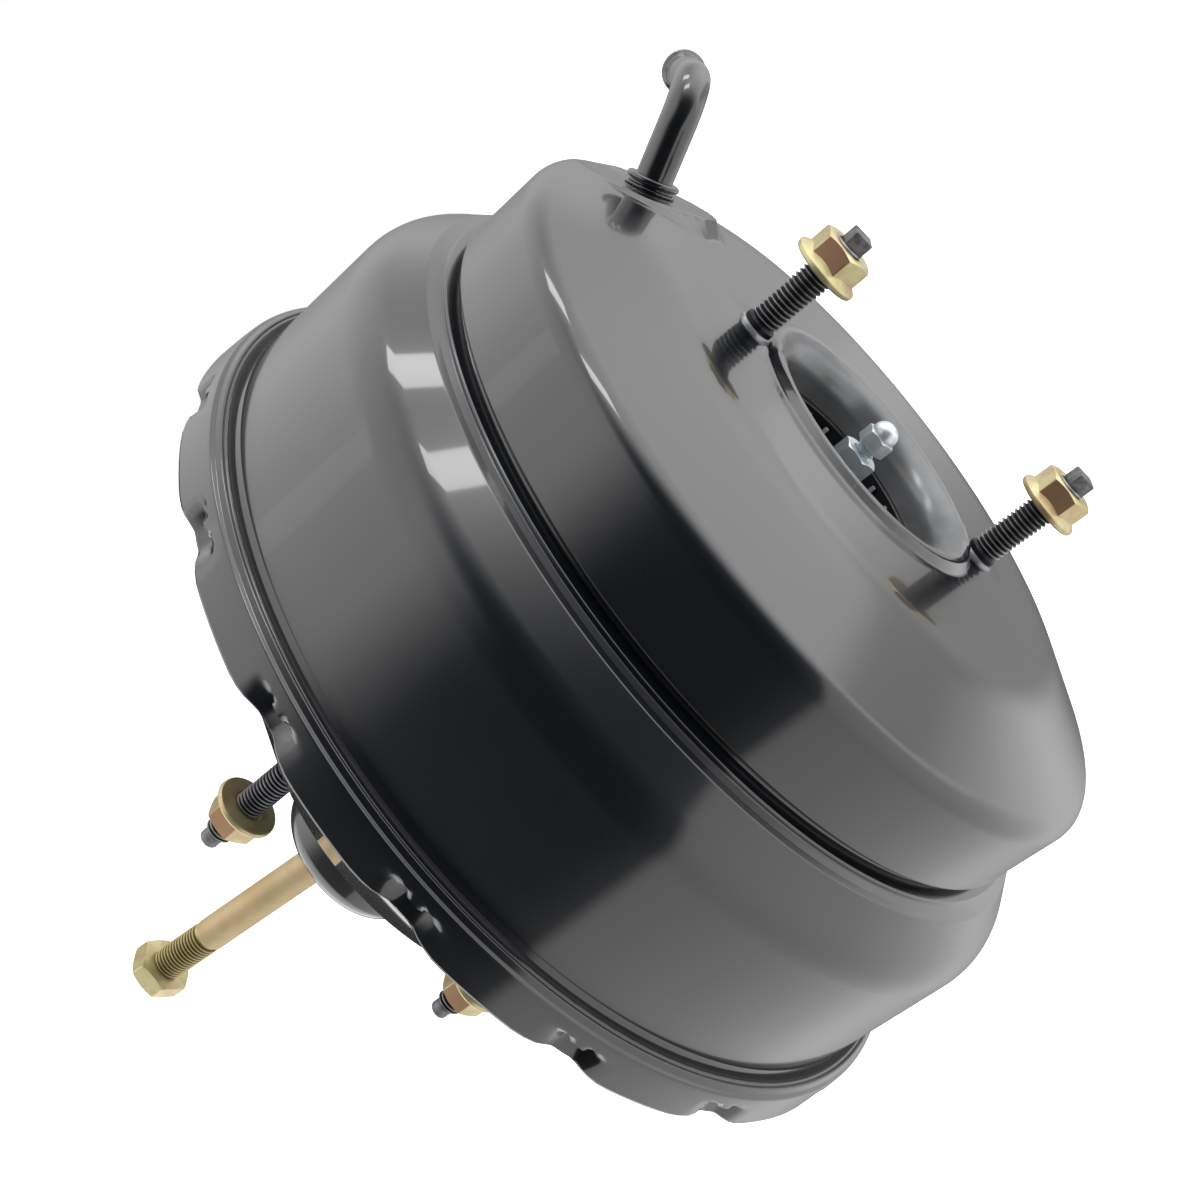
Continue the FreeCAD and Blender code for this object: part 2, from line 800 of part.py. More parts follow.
def valve_body():
    """Moulded power piston hub with the bores of the control valve."""
    body = turned([
        (valve_back_x, back_bore_r, 0),
        (valve_back_x, sleeve_r, 1.0),
        (valve_flange_x, sleeve_r, 1.5),
        (valve_flange_x, valve_flange_r, 1.0),
        (valve_flange_front, valve_flange_r, 0),
        (valve_flange_front, nose_r, 0),
        (nose_front_x, nose_r, 0.5),
        (nose_front_x, reaction_bore_r, 0),
        (reaction_floor_x, reaction_bore_r, 0),
        (reaction_floor_x, tip_bore_r, 0),
        (guide_end_x, tip_bore_r, 0),
        (guide_end_x, guide_bore_r, 0),
        (seat_x + head_bore_depth, guide_bore_r, 0),
        (seat_x + head_bore_depth, head_bore_r, 0),
        (seat_x - seat_lip_height, head_bore_r, 0),
        (seat_x - seat_lip_height, seat_lip_r, 0.3),
        (seat_x, seat_lip_r, 0),
        (seat_x, chamber_bore_r, 0.6),
        (bead_step_x, chamber_bore_r, 0.4),
        (bead_step_x, back_bore_r, 0),
    ])
    port = Part.makeBox(port_floor_x - seat_x + 2, port_width, chamber_bore_r - seat_lip_r,
                        V(seat_x - 1, -port_width / 2, seat_lip_r))
    way_out = Part.makeBox(port_width * 0.75, port_width, sleeve_r,
                           V(port_floor_x - port_width * 0.75, -port_width / 2, seat_lip_r))
    ports = port.fuse(way_out)
    lower = at_angle(ports, 180)
    slot = Part.makeBox(key_wall + 0.6, sleeve_r + key_reach + 2.3, key_width + 0.5,
                        V(key_x() - 0.3, -sleeve_r - 2, -key_width / 2 - 0.25))
    return body.cut(Part.makeCompound([ports, lower])).cut(slot)


def key_x():
    """Back face of the stopper key, at the front end of the plunger's neck."""
    return plunger_neck_x + plunger_neck_length - key_wall - 0.2


def stopper_key():
    """Flat fork that keeps the plunger in the valve body."""
    x = key_x()
    gap = plunger_neck_r + 0.3
    plate = Part.makeBox(key_wall, sleeve_r - 1 + key_reach, key_width, V(x, -sleeve_r + 1, -key_width / 2))
    throat = Part.makeBox(key_wall, key_reach + 1, 2 * gap, V(x, 0, -gap))
    eye = Part.makeCylinder(gap, key_wall, V(x, 0, 0), V(1, 0, 0))
    return plate.cut(throat.fuse(eye))


def reaction_disc():
    """Rubber disc that feeds the output force back to the plunger."""
    return tube_of(reaction_floor_x, reaction_floor_x + reaction_thick, 0, reaction_bore_r - 0.1)


def output_rod():
    """Push rod to the master cylinder, with its base in the valve body and a hexagon at its end."""
    base_x = reaction_floor_x + reaction_thick
    hex_end = output_hex_x + output_hex_height
    base = tube_of(base_x, base_x + output_base_width, 0, reaction_bore_r - 0.1)
    shank = tube_of(base_x, output_hex_x, 0, output_r)
    head = hexagon(output_hex_width, output_hex_x, output_hex_height)
    r = output_hex_width / math.sqrt(3)
    crown = Part.makeCone(r + output_hex_height - 0.7, r - 0.7, output_hex_height, V(output_hex_x, 0, 0), V(1, 0, 0))
    bore = tube_of(hex_end - screw_depth - 1, hex_end, 0, screw_r + thread_clearance)
    return base.fuse([shank, head.common(crown)]).cut(bore)


def adjusting_screw():
    """Domed screw that sets the length of the output rod."""
    hex_end = output_hex_x + output_hex_height
    hex_x = hex_end + screw_gap
    stem = tube_of(hex_end - screw_depth, hex_x, 0, screw_r)
    head = hexagon(screw_hex_width, hex_x, screw_hex_height)
    dome_x = hex_x + screw_hex_height
    dome = turned([
        (dome_x, 0, 0),
        (dome_x, screw_dome_r, 0),
        (screw_tip_x, screw_dome_r, min(screw_dome_r, screw_tip_x - dome_x) * 0.85),
        (screw_tip_x, 0, 0),
    ])
    return stem.fuse([head, dome])


def plunger():
    """Air valve: tip, two guide lands, neck for the key, seat and the socket of the ball."""
    head_x = seat_x - seat_lip_height
    land_r = guide_bore_r - slide_clearance
    body = turned([
        (head_x, 0, 0),
        (head_x, plunger_head_r, 0.3),
        (head_x + plunger_head_length, plunger_head_r, 0.6),
        (head_x + plunger_head_length + 1.4, land_r, 0),
        (plunger_neck_x, land_r, 0),
        (plunger_neck_x, plunger_neck_r, 0),
        (plunger_neck_x + plunger_neck_length, plunger_neck_r, 0),
        (plunger_neck_x + plunger_neck_length, land_r, 0),
        (plunger_front_x - valve_travel, land_r, 0.6),
        (plunger_front_x - valve_travel, tip_bore_r - 0.15, 0),
        (plunger_tip_x - valve_travel, tip_bore_r - 0.15, 0.6),
        (plunger_tip_x - valve_travel, 0, 0),
    ])
    socket = Part.makeSphere(ball_r + ball_gap, ball)
    throat = ball_r * 0.86
    mouth = rod_neck_r + (ball_x - head_x) * math.tan(math.radians(rod_swing)) + 1.2
    opening = Part.makeCone(mouth, throat, ball_x - head_x, V(head_x, 0, 0), V(1, 0, 0))
    return body.cut(socket.fuse(opening))


def pedal_rod():
    """Push rod from the pedal: ball, neck, spring collar and threaded shank."""
    shank_x = ball_x - rod_neck_length
    parts = [
        Part.makeSphere(ball_r, ball),
        tube_of(shank_x, ball_x, 0, rod_neck_r),
        Part.makeCone(rod_neck_r, rod_r, 3.0, V(shank_x, 0, 0), V(-1, 0, 0)),
        tube_of(ball_x - rod_end, shank_x - 3.0, 0, rod_r),
        tube_of(ball_x - rod_collar_x - rod_collar_width, ball_x - rod_collar_x, 0, rod_collar_r),
    ]
    return tilted(parts[0].fuse(parts[1:]))


def pedal_nut():
    """Lock nut at the threaded end of the pedal rod."""
    x0 = ball_x - rod_end + pedal_nut_back
    body = hexagon(pedal_nut_width, x0, pedal_nut_height)
    r = pedal_nut_width / math.sqrt(3)
    reach = r + pedal_nut_height - 0.8
    for end, direction in ((x0, 1), (x0 + pedal_nut_height, -1)):
        body = body.common(Part.makeCone(r - 0.8, reach, pedal_nut_height, V(end, 0, 0), V(direction, 0, 0)))
    return tilted(body.cut(tube_of(x0 - 1, x0 + pedal_nut_height + 1, 0, rod_r + thread_clearance)))


def poppet():
    """Rubber poppet: face against both seats, bellows and bead."""
    face_front = seat_x - seat_lip_height - seat_gap
    face_back = face_front - poppet_face
    out = chamber_bore_r - 0.8
    bead_back = bead_step_x - poppet_bead
    return turned([
        (face_back, poppet_bore_r, 0),
        (face_back, out - 1.2, 0.5),
        (bead_back, out - 1.2, 0),
        (bead_back, back_bore_r - 0.1, 0.4),
        (bead_step_x, back_bore_r - 0.1, 0.4),
        (bead_step_x, out, 0.5),
        (face_front, out, 0.6),
        (face_front, poppet_bore_r, 0.3),
    ])


def poppet_retainer():
    """Pressed cup behind the poppet's bead, which both small springs push on."""
    front = bead_step_x - poppet_bead
    hole = rod_r + (ball_x - front + 2) * math.tan(math.radians(rod_swing)) + 0.6
    return turned([
        (front, hole, 0),
        (front, back_bore_r - 0.1, 0.5),
        (front - retainer_tube_length, back_bore_r - 0.1, 0),
        (front - retainer_tube_length, back_bore_r - 0.1 - retainer_tube_wall, 0),
        (front - poppet_retainer_wall, back_bore_r - 0.1 - retainer_tube_wall, 0.4),
        (front - poppet_retainer_wall, hole, 0),
    ])


def filter_pieces():
    """Felt silencer, foam filter and the cap behind them, in the valve body's mouth."""
    r = back_bore_r - 0.1
    cap_front = valve_back_x + filter_cap_length
    filter_front = cap_front + filter_length
    silencer_front = filter_front + silencer_length
    return {
        "filter_cap": tube_of(valve_back_x, cap_front, filter_bore_r, r),
        "air_filter": tube_of(cap_front, filter_front, filter_bore_r, r),
        "silencer": tube_of(filter_front, silencer_front, silencer_bore_r, r),
    }


def coil(x_small, r_small, x_big, r_big, wire, turns):
    """Spring of tilted half turns, whose end wires all but touch x_small and x_big."""
    halves = round(2 * turns)
    forward = math.copysign(1.0, x_big - x_small)
    start = x_small + forward * (wire / 2 + spring_gap)
    rise = (abs(x_big - x_small) - wire - 2 * spring_gap) * forward / halves
    growth = (r_big - r_small) / halves
    bends = []
    for k in range(halves):
        side = -1 if k % 2 else 1
        a = V(start + rise * k, 0, side * (r_small + growth * k))
        b = V(start + rise * (k + 1), 0, -side * (r_small + growth * (k + 1)))
        section = Part.Face(Part.Wire(Part.makeCircle(wire / 2, a, V(0, 1, 0))))
        bends.append(section.revolve((a + b) * 0.5, (b - a).cross(V(0, side, 0)), 180))
    return bends[0].fuse(bends[1:])


def main_spring():
    """Conical return spring between the front plate and the shell's face."""
    back = front_support_x + support_wall
    front = face_x - shell_wall - plate_wall
    return coil(front, main_small_r, back, main_big_r, main_wire, main_turns)


def poppet_spring():
    front = seat_x - seat_lip_height - seat_gap - poppet_face
    back = bead_step_x - poppet_bead
    return coil(back, poppet_coil_r, front, poppet_coil_r, poppet_wire, poppet_turns)


def rod_spring():
    """Spring that pushes the pedal rod back from the poppet retainer."""
    back = ball_x - rod_collar_x
    front = bead_step_x - poppet_bead - poppet_retainer_wall - 0.7
    return tilted(coil(back, rod_coil_r, front, rod_coil_r, rod_wire, rod_turns))


def rear_seal():
    """Lip seal on the valve body, against the inside of the firewall face."""
    return turned([
        (rim_wall, sleeve_r + slide_clearance, 0),
        (rim_wall, seal_r, 0),
        (rim_wall + seal_length, seal_r, 0.6),
        (rim_wall + seal_length, seal_r - 2.0, 0.6),
        (rim_wall + 2.2, seal_r - 2.0, 0.6),
        (rim_wall + 2.2, sleeve_r + 1.8, 0.6),
        (rim_wall + seal_length, sleeve_r + 1.8, 0.5),
        (rim_wall + seal_length, sleeve_r + slide_clearance, 0.5),
    ])


def guide_ring():
    """Plain bearing in the neck that the valve body slides in."""
    return tube_of(rim_wall - guide_length, rim_wall, sleeve_r + slide_clearance, neck_inner_r - touch)


def seal_cap():
    """Pressed cap over the rear seal, seated on the stud plate."""
    inner = rim_wall + plate_wall
    back = rim_wall + seal_length
    return turned([
        (inner, seal_cap_r - seal_cap_wall, 0),
        (back, seal_cap_r - seal_cap_wall, 0.4),
        (back, sleeve_r + 1.2, 0),
        (back + seal_cap_wall, sleeve_r + 1.2, 0),
        (back + seal_cap_wall, seal_cap_r, 1.6),
        (inner, seal_cap_r, 0),
    ])


def pieces():
    parts = {
        "front_shell": front_shell(),
        "rear_shell": rear_shell(),
        "front_studs": front_studs(),
        "rear_studs": rear_studs(),
        "front_nuts": nuts(front_stud_places(), front_nut_x, 1),
        "rear_nuts": nuts(rear_stud_places(), rear_nut_x, -1),
        "front_stud_plate": stud_plate(face_x - shell_wall - plate_wall, front_plate_hole_r, front_plate_r,
                                       front_stud_places()),
        "rear_stud_plate": stud_plate(rim_wall, rear_plate_hole_r, rear_plate_r, rear_stud_places()),
        "vacuum_tube": vacuum_tube(),
        "tube_ferrule": tube_ferrule(),
        "ribbed_ring": ribbed_ring(),
        "divider_plate": divider(),
        "divider_seal": divider_seal(),
        "front_diaphragm": front_diaphragm(),
        "rear_diaphragm": rear_diaphragm(),
        "front_support_plate": support_plate(front_support()),
        "rear_support_plate": support_plate(rear_support()),
        "hub_sleeve": hub_sleeve(),
        "hub_retainer": hub_retainer(),
        "valve_body": valve_body(),
        "stopper_key": stopper_key(),
        "reaction_disc": reaction_disc(),
        "output_rod": output_rod(),
        "adjusting_screw": adjusting_screw(),
        "plunger": plunger(),
        "pedal_rod": pedal_rod(),
        "pedal_lock_nut": pedal_nut(),
        "poppet_valve": poppet(),
        "poppet_retainer": poppet_retainer(),
        "poppet_spring": poppet_spring(),
        "rod_return_spring": rod_spring(),
        "main_return_spring": main_spring(),
        "rear_seal": rear_seal(),
        "guide_ring": guide_ring(),
        "rear_seal_cap": seal_cap(),
    }
    parts.update(filter_pieces())
    return parts


os.makedirs("parts", exist_ok=True)
for name, shape in pieces().items():
    shape.exportStep("parts/%s.step" % name)
    print(name, len(shape.Solids), round(shape.Volume), shape.isValid())
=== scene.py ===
import bpy
import bmesh
import math
from mathutils import Matrix, Vector


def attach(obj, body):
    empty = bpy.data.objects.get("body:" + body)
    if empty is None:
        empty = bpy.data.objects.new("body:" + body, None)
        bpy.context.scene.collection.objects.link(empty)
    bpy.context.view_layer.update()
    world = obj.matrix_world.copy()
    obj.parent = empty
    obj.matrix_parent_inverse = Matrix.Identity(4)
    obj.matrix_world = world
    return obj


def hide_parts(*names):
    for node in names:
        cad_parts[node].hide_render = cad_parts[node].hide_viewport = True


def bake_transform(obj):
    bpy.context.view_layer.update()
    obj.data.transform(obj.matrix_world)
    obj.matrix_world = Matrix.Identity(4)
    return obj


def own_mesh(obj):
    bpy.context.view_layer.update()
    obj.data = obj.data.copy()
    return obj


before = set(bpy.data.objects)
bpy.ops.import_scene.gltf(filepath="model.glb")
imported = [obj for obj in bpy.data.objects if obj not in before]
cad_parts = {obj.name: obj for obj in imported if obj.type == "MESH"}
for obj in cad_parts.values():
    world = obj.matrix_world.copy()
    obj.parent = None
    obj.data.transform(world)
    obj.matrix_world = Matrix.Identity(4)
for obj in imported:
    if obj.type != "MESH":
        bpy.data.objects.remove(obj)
scene = bpy.context.scene
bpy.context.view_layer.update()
print("frame loaded:", len(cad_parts), "nodes")

mm = 0.001                              # shapes are drawn in millimetres and scaled once at the end
booster = Vector((1, 0, 0))             # the axis of the booster, pointing to the master cylinder


# Mesh helpers

def roundedRun(corners, closed=False, fine=5.0, coarse=15.0, stride=0.0):
    # points of a run of (x, r, bend) corners, each rounded by a tangent arc
    places = [Vector((c[0], 0, c[1])) for c in corners]
    count = len(places)
    points = []
    for i, corner in enumerate(corners):
        here, bend = places[i], corner[2]
        if bend <= 0 or (not closed and i in (0, count - 1)):
            points.append(here)
            continue
        before = (here - places[i - 1]).normalized()
        after = (places[(i + 1) % count] - here).normalized()
        turn = before.angle(after)
        start = here - before * (bend * math.tan(turn / 2))
        centre = here + (after - before).normalized() * (bend / math.cos(turn / 2))
        axis = before.cross(after).normalized()
        steps = max(2, math.ceil(math.degrees(turn) / (fine if bend > 5 else coarse)))
        for k in range(steps + 1):
            points.append(centre + Matrix.Rotation(turn * k / steps, 3, axis) @ (start - centre))
    if not stride:
        return points
    dense = [points[0]]
    for a, b in zip(points, points[1:]):
        pieces = max(1, round((b - a).length / stride))
        dense += [a.lerp(b, k / pieces) for k in range(1, pieces + 1)]
    return dense


def everything(bm):
    return list(bm.verts) + list(bm.edges) + list(bm.faces)


def spinRun(bm, points, segments, closed=False):
    # turns a run of points about the booster's axis
    verts = [bm.verts.new(p) for p in points]
    edges = [bm.edges.new((a, b)) for a, b in zip(verts, verts[1:])]
    if closed:
        edges.append(bm.edges.new((verts[-1], verts[0])))
    bmesh.ops.spin(bm, geom=verts + edges, cent=(0, 0, 0), axis=booster, angle=2 * math.pi,
                   steps=segments, use_merge=True)
    bmesh.ops.remove_doubles(bm, verts=bm.verts, dist=1e-4)


def outward(bm):
    bmesh.ops.recalc_face_normals(bm, faces=bm.faces)


def roundEdges(bm, edges, offset):
    bmesh.ops.bevel(bm, geom=edges, offset=offset, segments=2, profile=0.5, affect="EDGES", material=-1)


def sharpEdges(bm):
    return [e for e in bm.edges if e.calc_face_angle(0) > math.radians(60)]


def paint(bm, index):
    for f in bm.faces:
        f.material_index = index


def box(bm, x, z, length, width, height):
    # a cuboid along the booster's axis, about (x, 0, z)
    bmesh.ops.create_cube(bm, size=1.0, matrix=Matrix.Translation((x, 0, z))
                          @ Matrix.Diagonal((length, width, height, 1)))


def meshFrom(bm, name):
    mesh = bpy.data.meshes.new(name)
    bm.to_mesh(mesh)
    bm.free()
    return mesh


def objectFrom(name, data):
    made = bpy.data.objects.new(name, data)
    scene.collection.objects.link(made)
    return made


def ringOf(bm, centre, direction, radius, segments):
    # a circle of edges square to a direction
    turn = direction.to_track_quat("Z", "Y").to_matrix().to_4x4()
    made = bmesh.ops.create_circle(bm, segments=segments, radius=radius,
                                   matrix=Matrix.Translation(centre) @ turn)
    return list({e for v in made["verts"] for e in v.link_edges})


def pushRing(bm, edges, move=None, turn=None, scale=1.0):
    # extrudes a ring of edges, then moves, turns or scales the new ring
    made = bmesh.ops.extrude_edge_only(bm, edges=edges)["geom"]
    verts = [g for g in made if isinstance(g, bmesh.types.BMVert)]
    if turn:
        pivot, axis, angle = turn
        bmesh.ops.rotate(bm, verts=verts, cent=pivot, matrix=Matrix.Rotation(angle, 3, axis))
    if move:
        bmesh.ops.translate(bm, verts=verts, vec=move)
    if scale != 1.0:
        centre = sum((v.co for v in verts), Vector()) / len(verts)
        bmesh.ops.scale(bm, verts=verts, vec=(scale,) * 3, space=Matrix.Translation(-centre))
    return [g for g in made if isinstance(g, bmesh.types.BMEdge)]


def cutHexagon(bm, width, turned=0.0):
    # trims a turned blank to six flats
    for k in range(6):
        angle = math.radians(60 * k + 30 + turned)
        normal = Vector((0, math.cos(angle), math.sin(angle)))
        cut = bmesh.ops.bisect_plane(bm, geom=everything(bm), dist=1e-5, plane_co=normal * (width / 2),
                                     plane_no=normal, clear_outer=True)
        edges = [g for g in cut["geom_cut"] if isinstance(g, bmesh.types.BMEdge)]
        bmesh.ops.holes_fill(bm, edges=edges, sides=0)


def softenFlats(bm, offset):
    # rounds the six upright edges of a hexagon
    chosen = []
    for e in bm.edges:
        if len(e.link_faces) != 2:
            continue
        along = (e.verts[1].co - e.verts[0].co).normalized()
        if abs(along.x) > 0.95 and e.calc_face_angle(0) > math.radians(40):
            chosen.append(e)
    roundEdges(bm, chosen, offset)


# one pitch of a rolled thread: share of the pitch, share of the depth
threadForm = ((0.0, 1.0), (0.1, 1.0), (0.33, 0.35), (0.44, 0.0), (0.56, 0.0), (0.67, 0.35), (0.9, 1.0),
              (1.0, 1.0))
crestShare = 0.3


def threadOn(bm, start, end, radius, pitch, depth, chamfer, segments=28, crest=0, root=0):
    # sweeps one pitch of the thread along its helix and cuts it square at both ends
    part = bmesh.new()
    verts = [part.verts.new((start + (u - 1) * pitch, 0, radius - depth * down)) for u, down in threadForm]
    edges = [part.edges.new((a, b)) for a, b in zip(verts, verts[1:])]
    turns = math.ceil((end - start) / pitch) + 2
    bmesh.ops.spin(part, geom=verts + edges, cent=(0, 0, 0), axis=booster, angle=2 * math.pi * turns,
                   steps=segments * turns, dvec=(pitch / segments, 0, 0))
    bmesh.ops.remove_doubles(part, verts=part.verts, dist=1e-3)
    for place, side in ((start, -1), (end, 1)):
        bmesh.ops.bisect_plane(part, geom=everything(part), dist=1e-5, plane_co=(place, 0, 0),
                               plane_no=(side, 0, 0), clear_outer=True)
    # faces deep in the thread take the root finish, painted dark as shade; the rest take the crest finish
    for f in part.faces:
        middle = f.calc_center_median()
        deep = math.hypot(middle.y, middle.z) < radius - depth * crestShare
        f.material_index = root if deep else crest
    rims = [e for e in part.edges if e.is_boundary]
    bmesh.ops.holes_fill(part, edges=rims, sides=0)
    for v in part.verts:
        limit = radius - chamfer + min(v.co.x - start, end - v.co.x)
        reach = math.hypot(v.co.y, v.co.z)
        if reach > limit:
            v.co.y *= limit / reach
            v.co.z *= limit / reach
    outward(part)
    appendTo(bm, part)


def appendTo(bm, part, matrix=None):
    # joins one bmesh into another, through a mesh that is thrown away
    carrier = meshFrom(part, "carrier")
    if matrix:
        carrier.transform(matrix)
    bm.from_mesh(carrier)
    bpy.data.meshes.remove(carrier)


def spreadTo(bm, places):
    # copies what is drawn on the axis to each (y, z) place and drops the first
    source = everything(bm)
    for y, z in places:
        made = bmesh.ops.duplicate(bm, geom=source)["geom"]
        verts = [g for g in made if isinstance(g, bmesh.types.BMVert)]
        bmesh.ops.translate(bm, verts=verts, vec=(0, y, z))
    bmesh.ops.delete(bm, geom=[g for g in source if isinstance(g, bmesh.types.BMVert)], context="VERTS")


def dressed(mesh, name, finishNames, sharpAngle):
    # gives a mesh its finishes and its shading, and makes it an object
    for finish in finishNames:
        mesh.materials.append(finishes[finish])
    mesh.shade_smooth()
    mesh.set_sharp_from_angle(angle=math.radians(sharpAngle))
    return objectFrom(name, mesh)


def makePiece(bm, name, body, finishNames, nodeName):
    # scales the drawing to metres and puts it on its body in the place of the CAD node
    bmesh.ops.scale(bm, verts=bm.verts, vec=(mm, mm, mm))
    piece = dressed(meshFrom(bm, name), name, finishNames, 35)
    shading = piece.modifiers.new("evenShading", "WEIGHTED_NORMAL")
    shading.keep_sharp = True
    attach(piece, body)
    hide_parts(nodeName)
    print(name, "made:", len(piece.data.polygons), "faces")


def smoothStep(low, high, value):
    t = min(1.0, max(0.0, (value - low) / (high - low)))
    return t * t * (3 - 2 * t)


# Material helpers

def hexColour(text):
    # sRGB hex to the linear values that shaders take
    parts = [int(text[i:i + 2], 16) / 255 for i in (1, 3, 5)]
    linear = [p / 12.92 if p <= 0.04045 else ((p + 0.055) / 1.055) ** 2.4 for p in parts]
    return (*linear, 1.0)


def addNode(tree, kind, settings=None, links=None):
    node = tree.nodes.new(kind)
    for key, value in (settings or {}).items():
        if isinstance(key, int) or key in node.inputs:
            node.inputs[key].default_value = value
        else:
            setattr(node, key, value)
    for socket, source in (links or {}).items():
        tree.links.new(source, node.inputs[socket])
    return node


def startMaterial(name):
    material = bpy.data.materials.new(name)
    material.use_nodes = True
    tree = material.node_tree
    shader = tree.nodes["Principled BSDF"]
    place = addNode(tree, "ShaderNodeTexCoord").outputs["Object"]
    return material, tree, shader, place


def stovedEnamel(name, colour, peel, hazeSize, roughness, coatRoughness, coatIor):
    # Black stoving enamel on pressed steel: mirror gloss with a faint orange peel from spraying. The real
    # peel is about 1.5 mm wide and would not show, so it is drawn about three times as wide.
    material, tree, shader, place = startMaterial(name)
    shader.inputs["Base Color"].default_value = hexColour(colour)
    shader.inputs["Coat Weight"].default_value = 1.0
    shader.inputs["Coat Roughness"].default_value = coatRoughness
    shader.inputs["Coat IOR"].default_value = coatIor
    haze = addNode(tree, "ShaderNodeTexNoise", {"Scale": 1 / (hazeSize * mm), "Detail": 4},
                   {"Vector": place})
    gloss = addNode(tree, "ShaderNodeMapRange", {"To Min": roughness[0], "To Max": roughness[1]},
                    {"Value": haze.outputs["Fac"]})
    waves = addNode(tree, "ShaderNodeTexNoise", {"Scale": 1 / (peel[0] * mm), "Detail": 2},
                    {"Vector": place})
    relief = addNode(tree, "ShaderNodeBump", {"Distance": peel[1] * mm}, {"Height": waves.outputs["Fac"]})
    tree.links.new(gloss.outputs["Result"], shader.inputs["Roughness"])
    tree.links.new(relief.outputs["Normal"], shader.inputs["Normal"])
    tree.links.new(relief.outputs["Normal"], shader.inputs["Coat Normal"])
    return material


def patternedSurface(name, patchSize, fine, roughness, tints, metallic, detail, stretch=None):
    # colour in patches, and fine marks of a size and depth that vary the gloss and stand a little proud
    material, tree, shader, place = startMaterial(name)
    shader.inputs["Metallic"].default_value = metallic
    patches = addNode(tree, "ShaderNodeTexNoise", {"Scale": 1 / (patchSize * mm), "Detail": 3},
                      {"Vector": place})
    colours = addNode(tree, "ShaderNodeValToRGB", None, {"Fac": patches.outputs["Fac"]})
    stops = colours.color_ramp.elements
    for k, (position, colour) in enumerate(tints):
        stop = stops[k] if k < 2 else stops.new(position)
        stop.position = position
        stop.color = hexColour(colour)
    if stretch:
        place = addNode(tree, "ShaderNodeMapping", {"Scale": stretch}, {"Vector": place}).outputs["Vector"]
    marks = addNode(tree, "ShaderNodeTexNoise", {"Scale": 1 / (fine[0] * mm), "Detail": detail},
                    {"Vector": place})
    gloss = addNode(tree, "ShaderNodeMapRange", {"To Min": roughness[0], "To Max": roughness[1]},
                    {"Value": marks.outputs["Fac"]})
    relief = addNode(tree, "ShaderNodeBump", {"Distance": fine[1] * mm}, {"Height": marks.outputs["Fac"]})
    tree.links.new(colours.outputs["Color"], shader.inputs["Base Color"])
    tree.links.new(gloss.outputs["Result"], shader.inputs["Roughness"])
    tree.links.new(relief.outputs["Normal"], shader.inputs["Normal"])
    return material


def platedSteel(name, patchSize, marks, roughness, tints, metallic=1.0, stretch=None):
    # Plated, phosphated or plain steel: its film tints it in patches, with fine drawing marks. Real marks
    # are about 0.1 mm wide and would not show, so they are drawn 0.3 to 0.8 mm wide.
    return patternedSurface(name, patchSize, marks, roughness, tints, metallic, 3, stretch)


def mouldedPlastic(name, cloudSize, skin, roughness, colours):
    # Moulded polymer or rubber: even colour, a satin skin and a very fine moulding grain.
    return patternedSurface(name, cloudSize, skin, roughness, tuple(zip((0.35, 0.65), colours)), 0.0, 4)


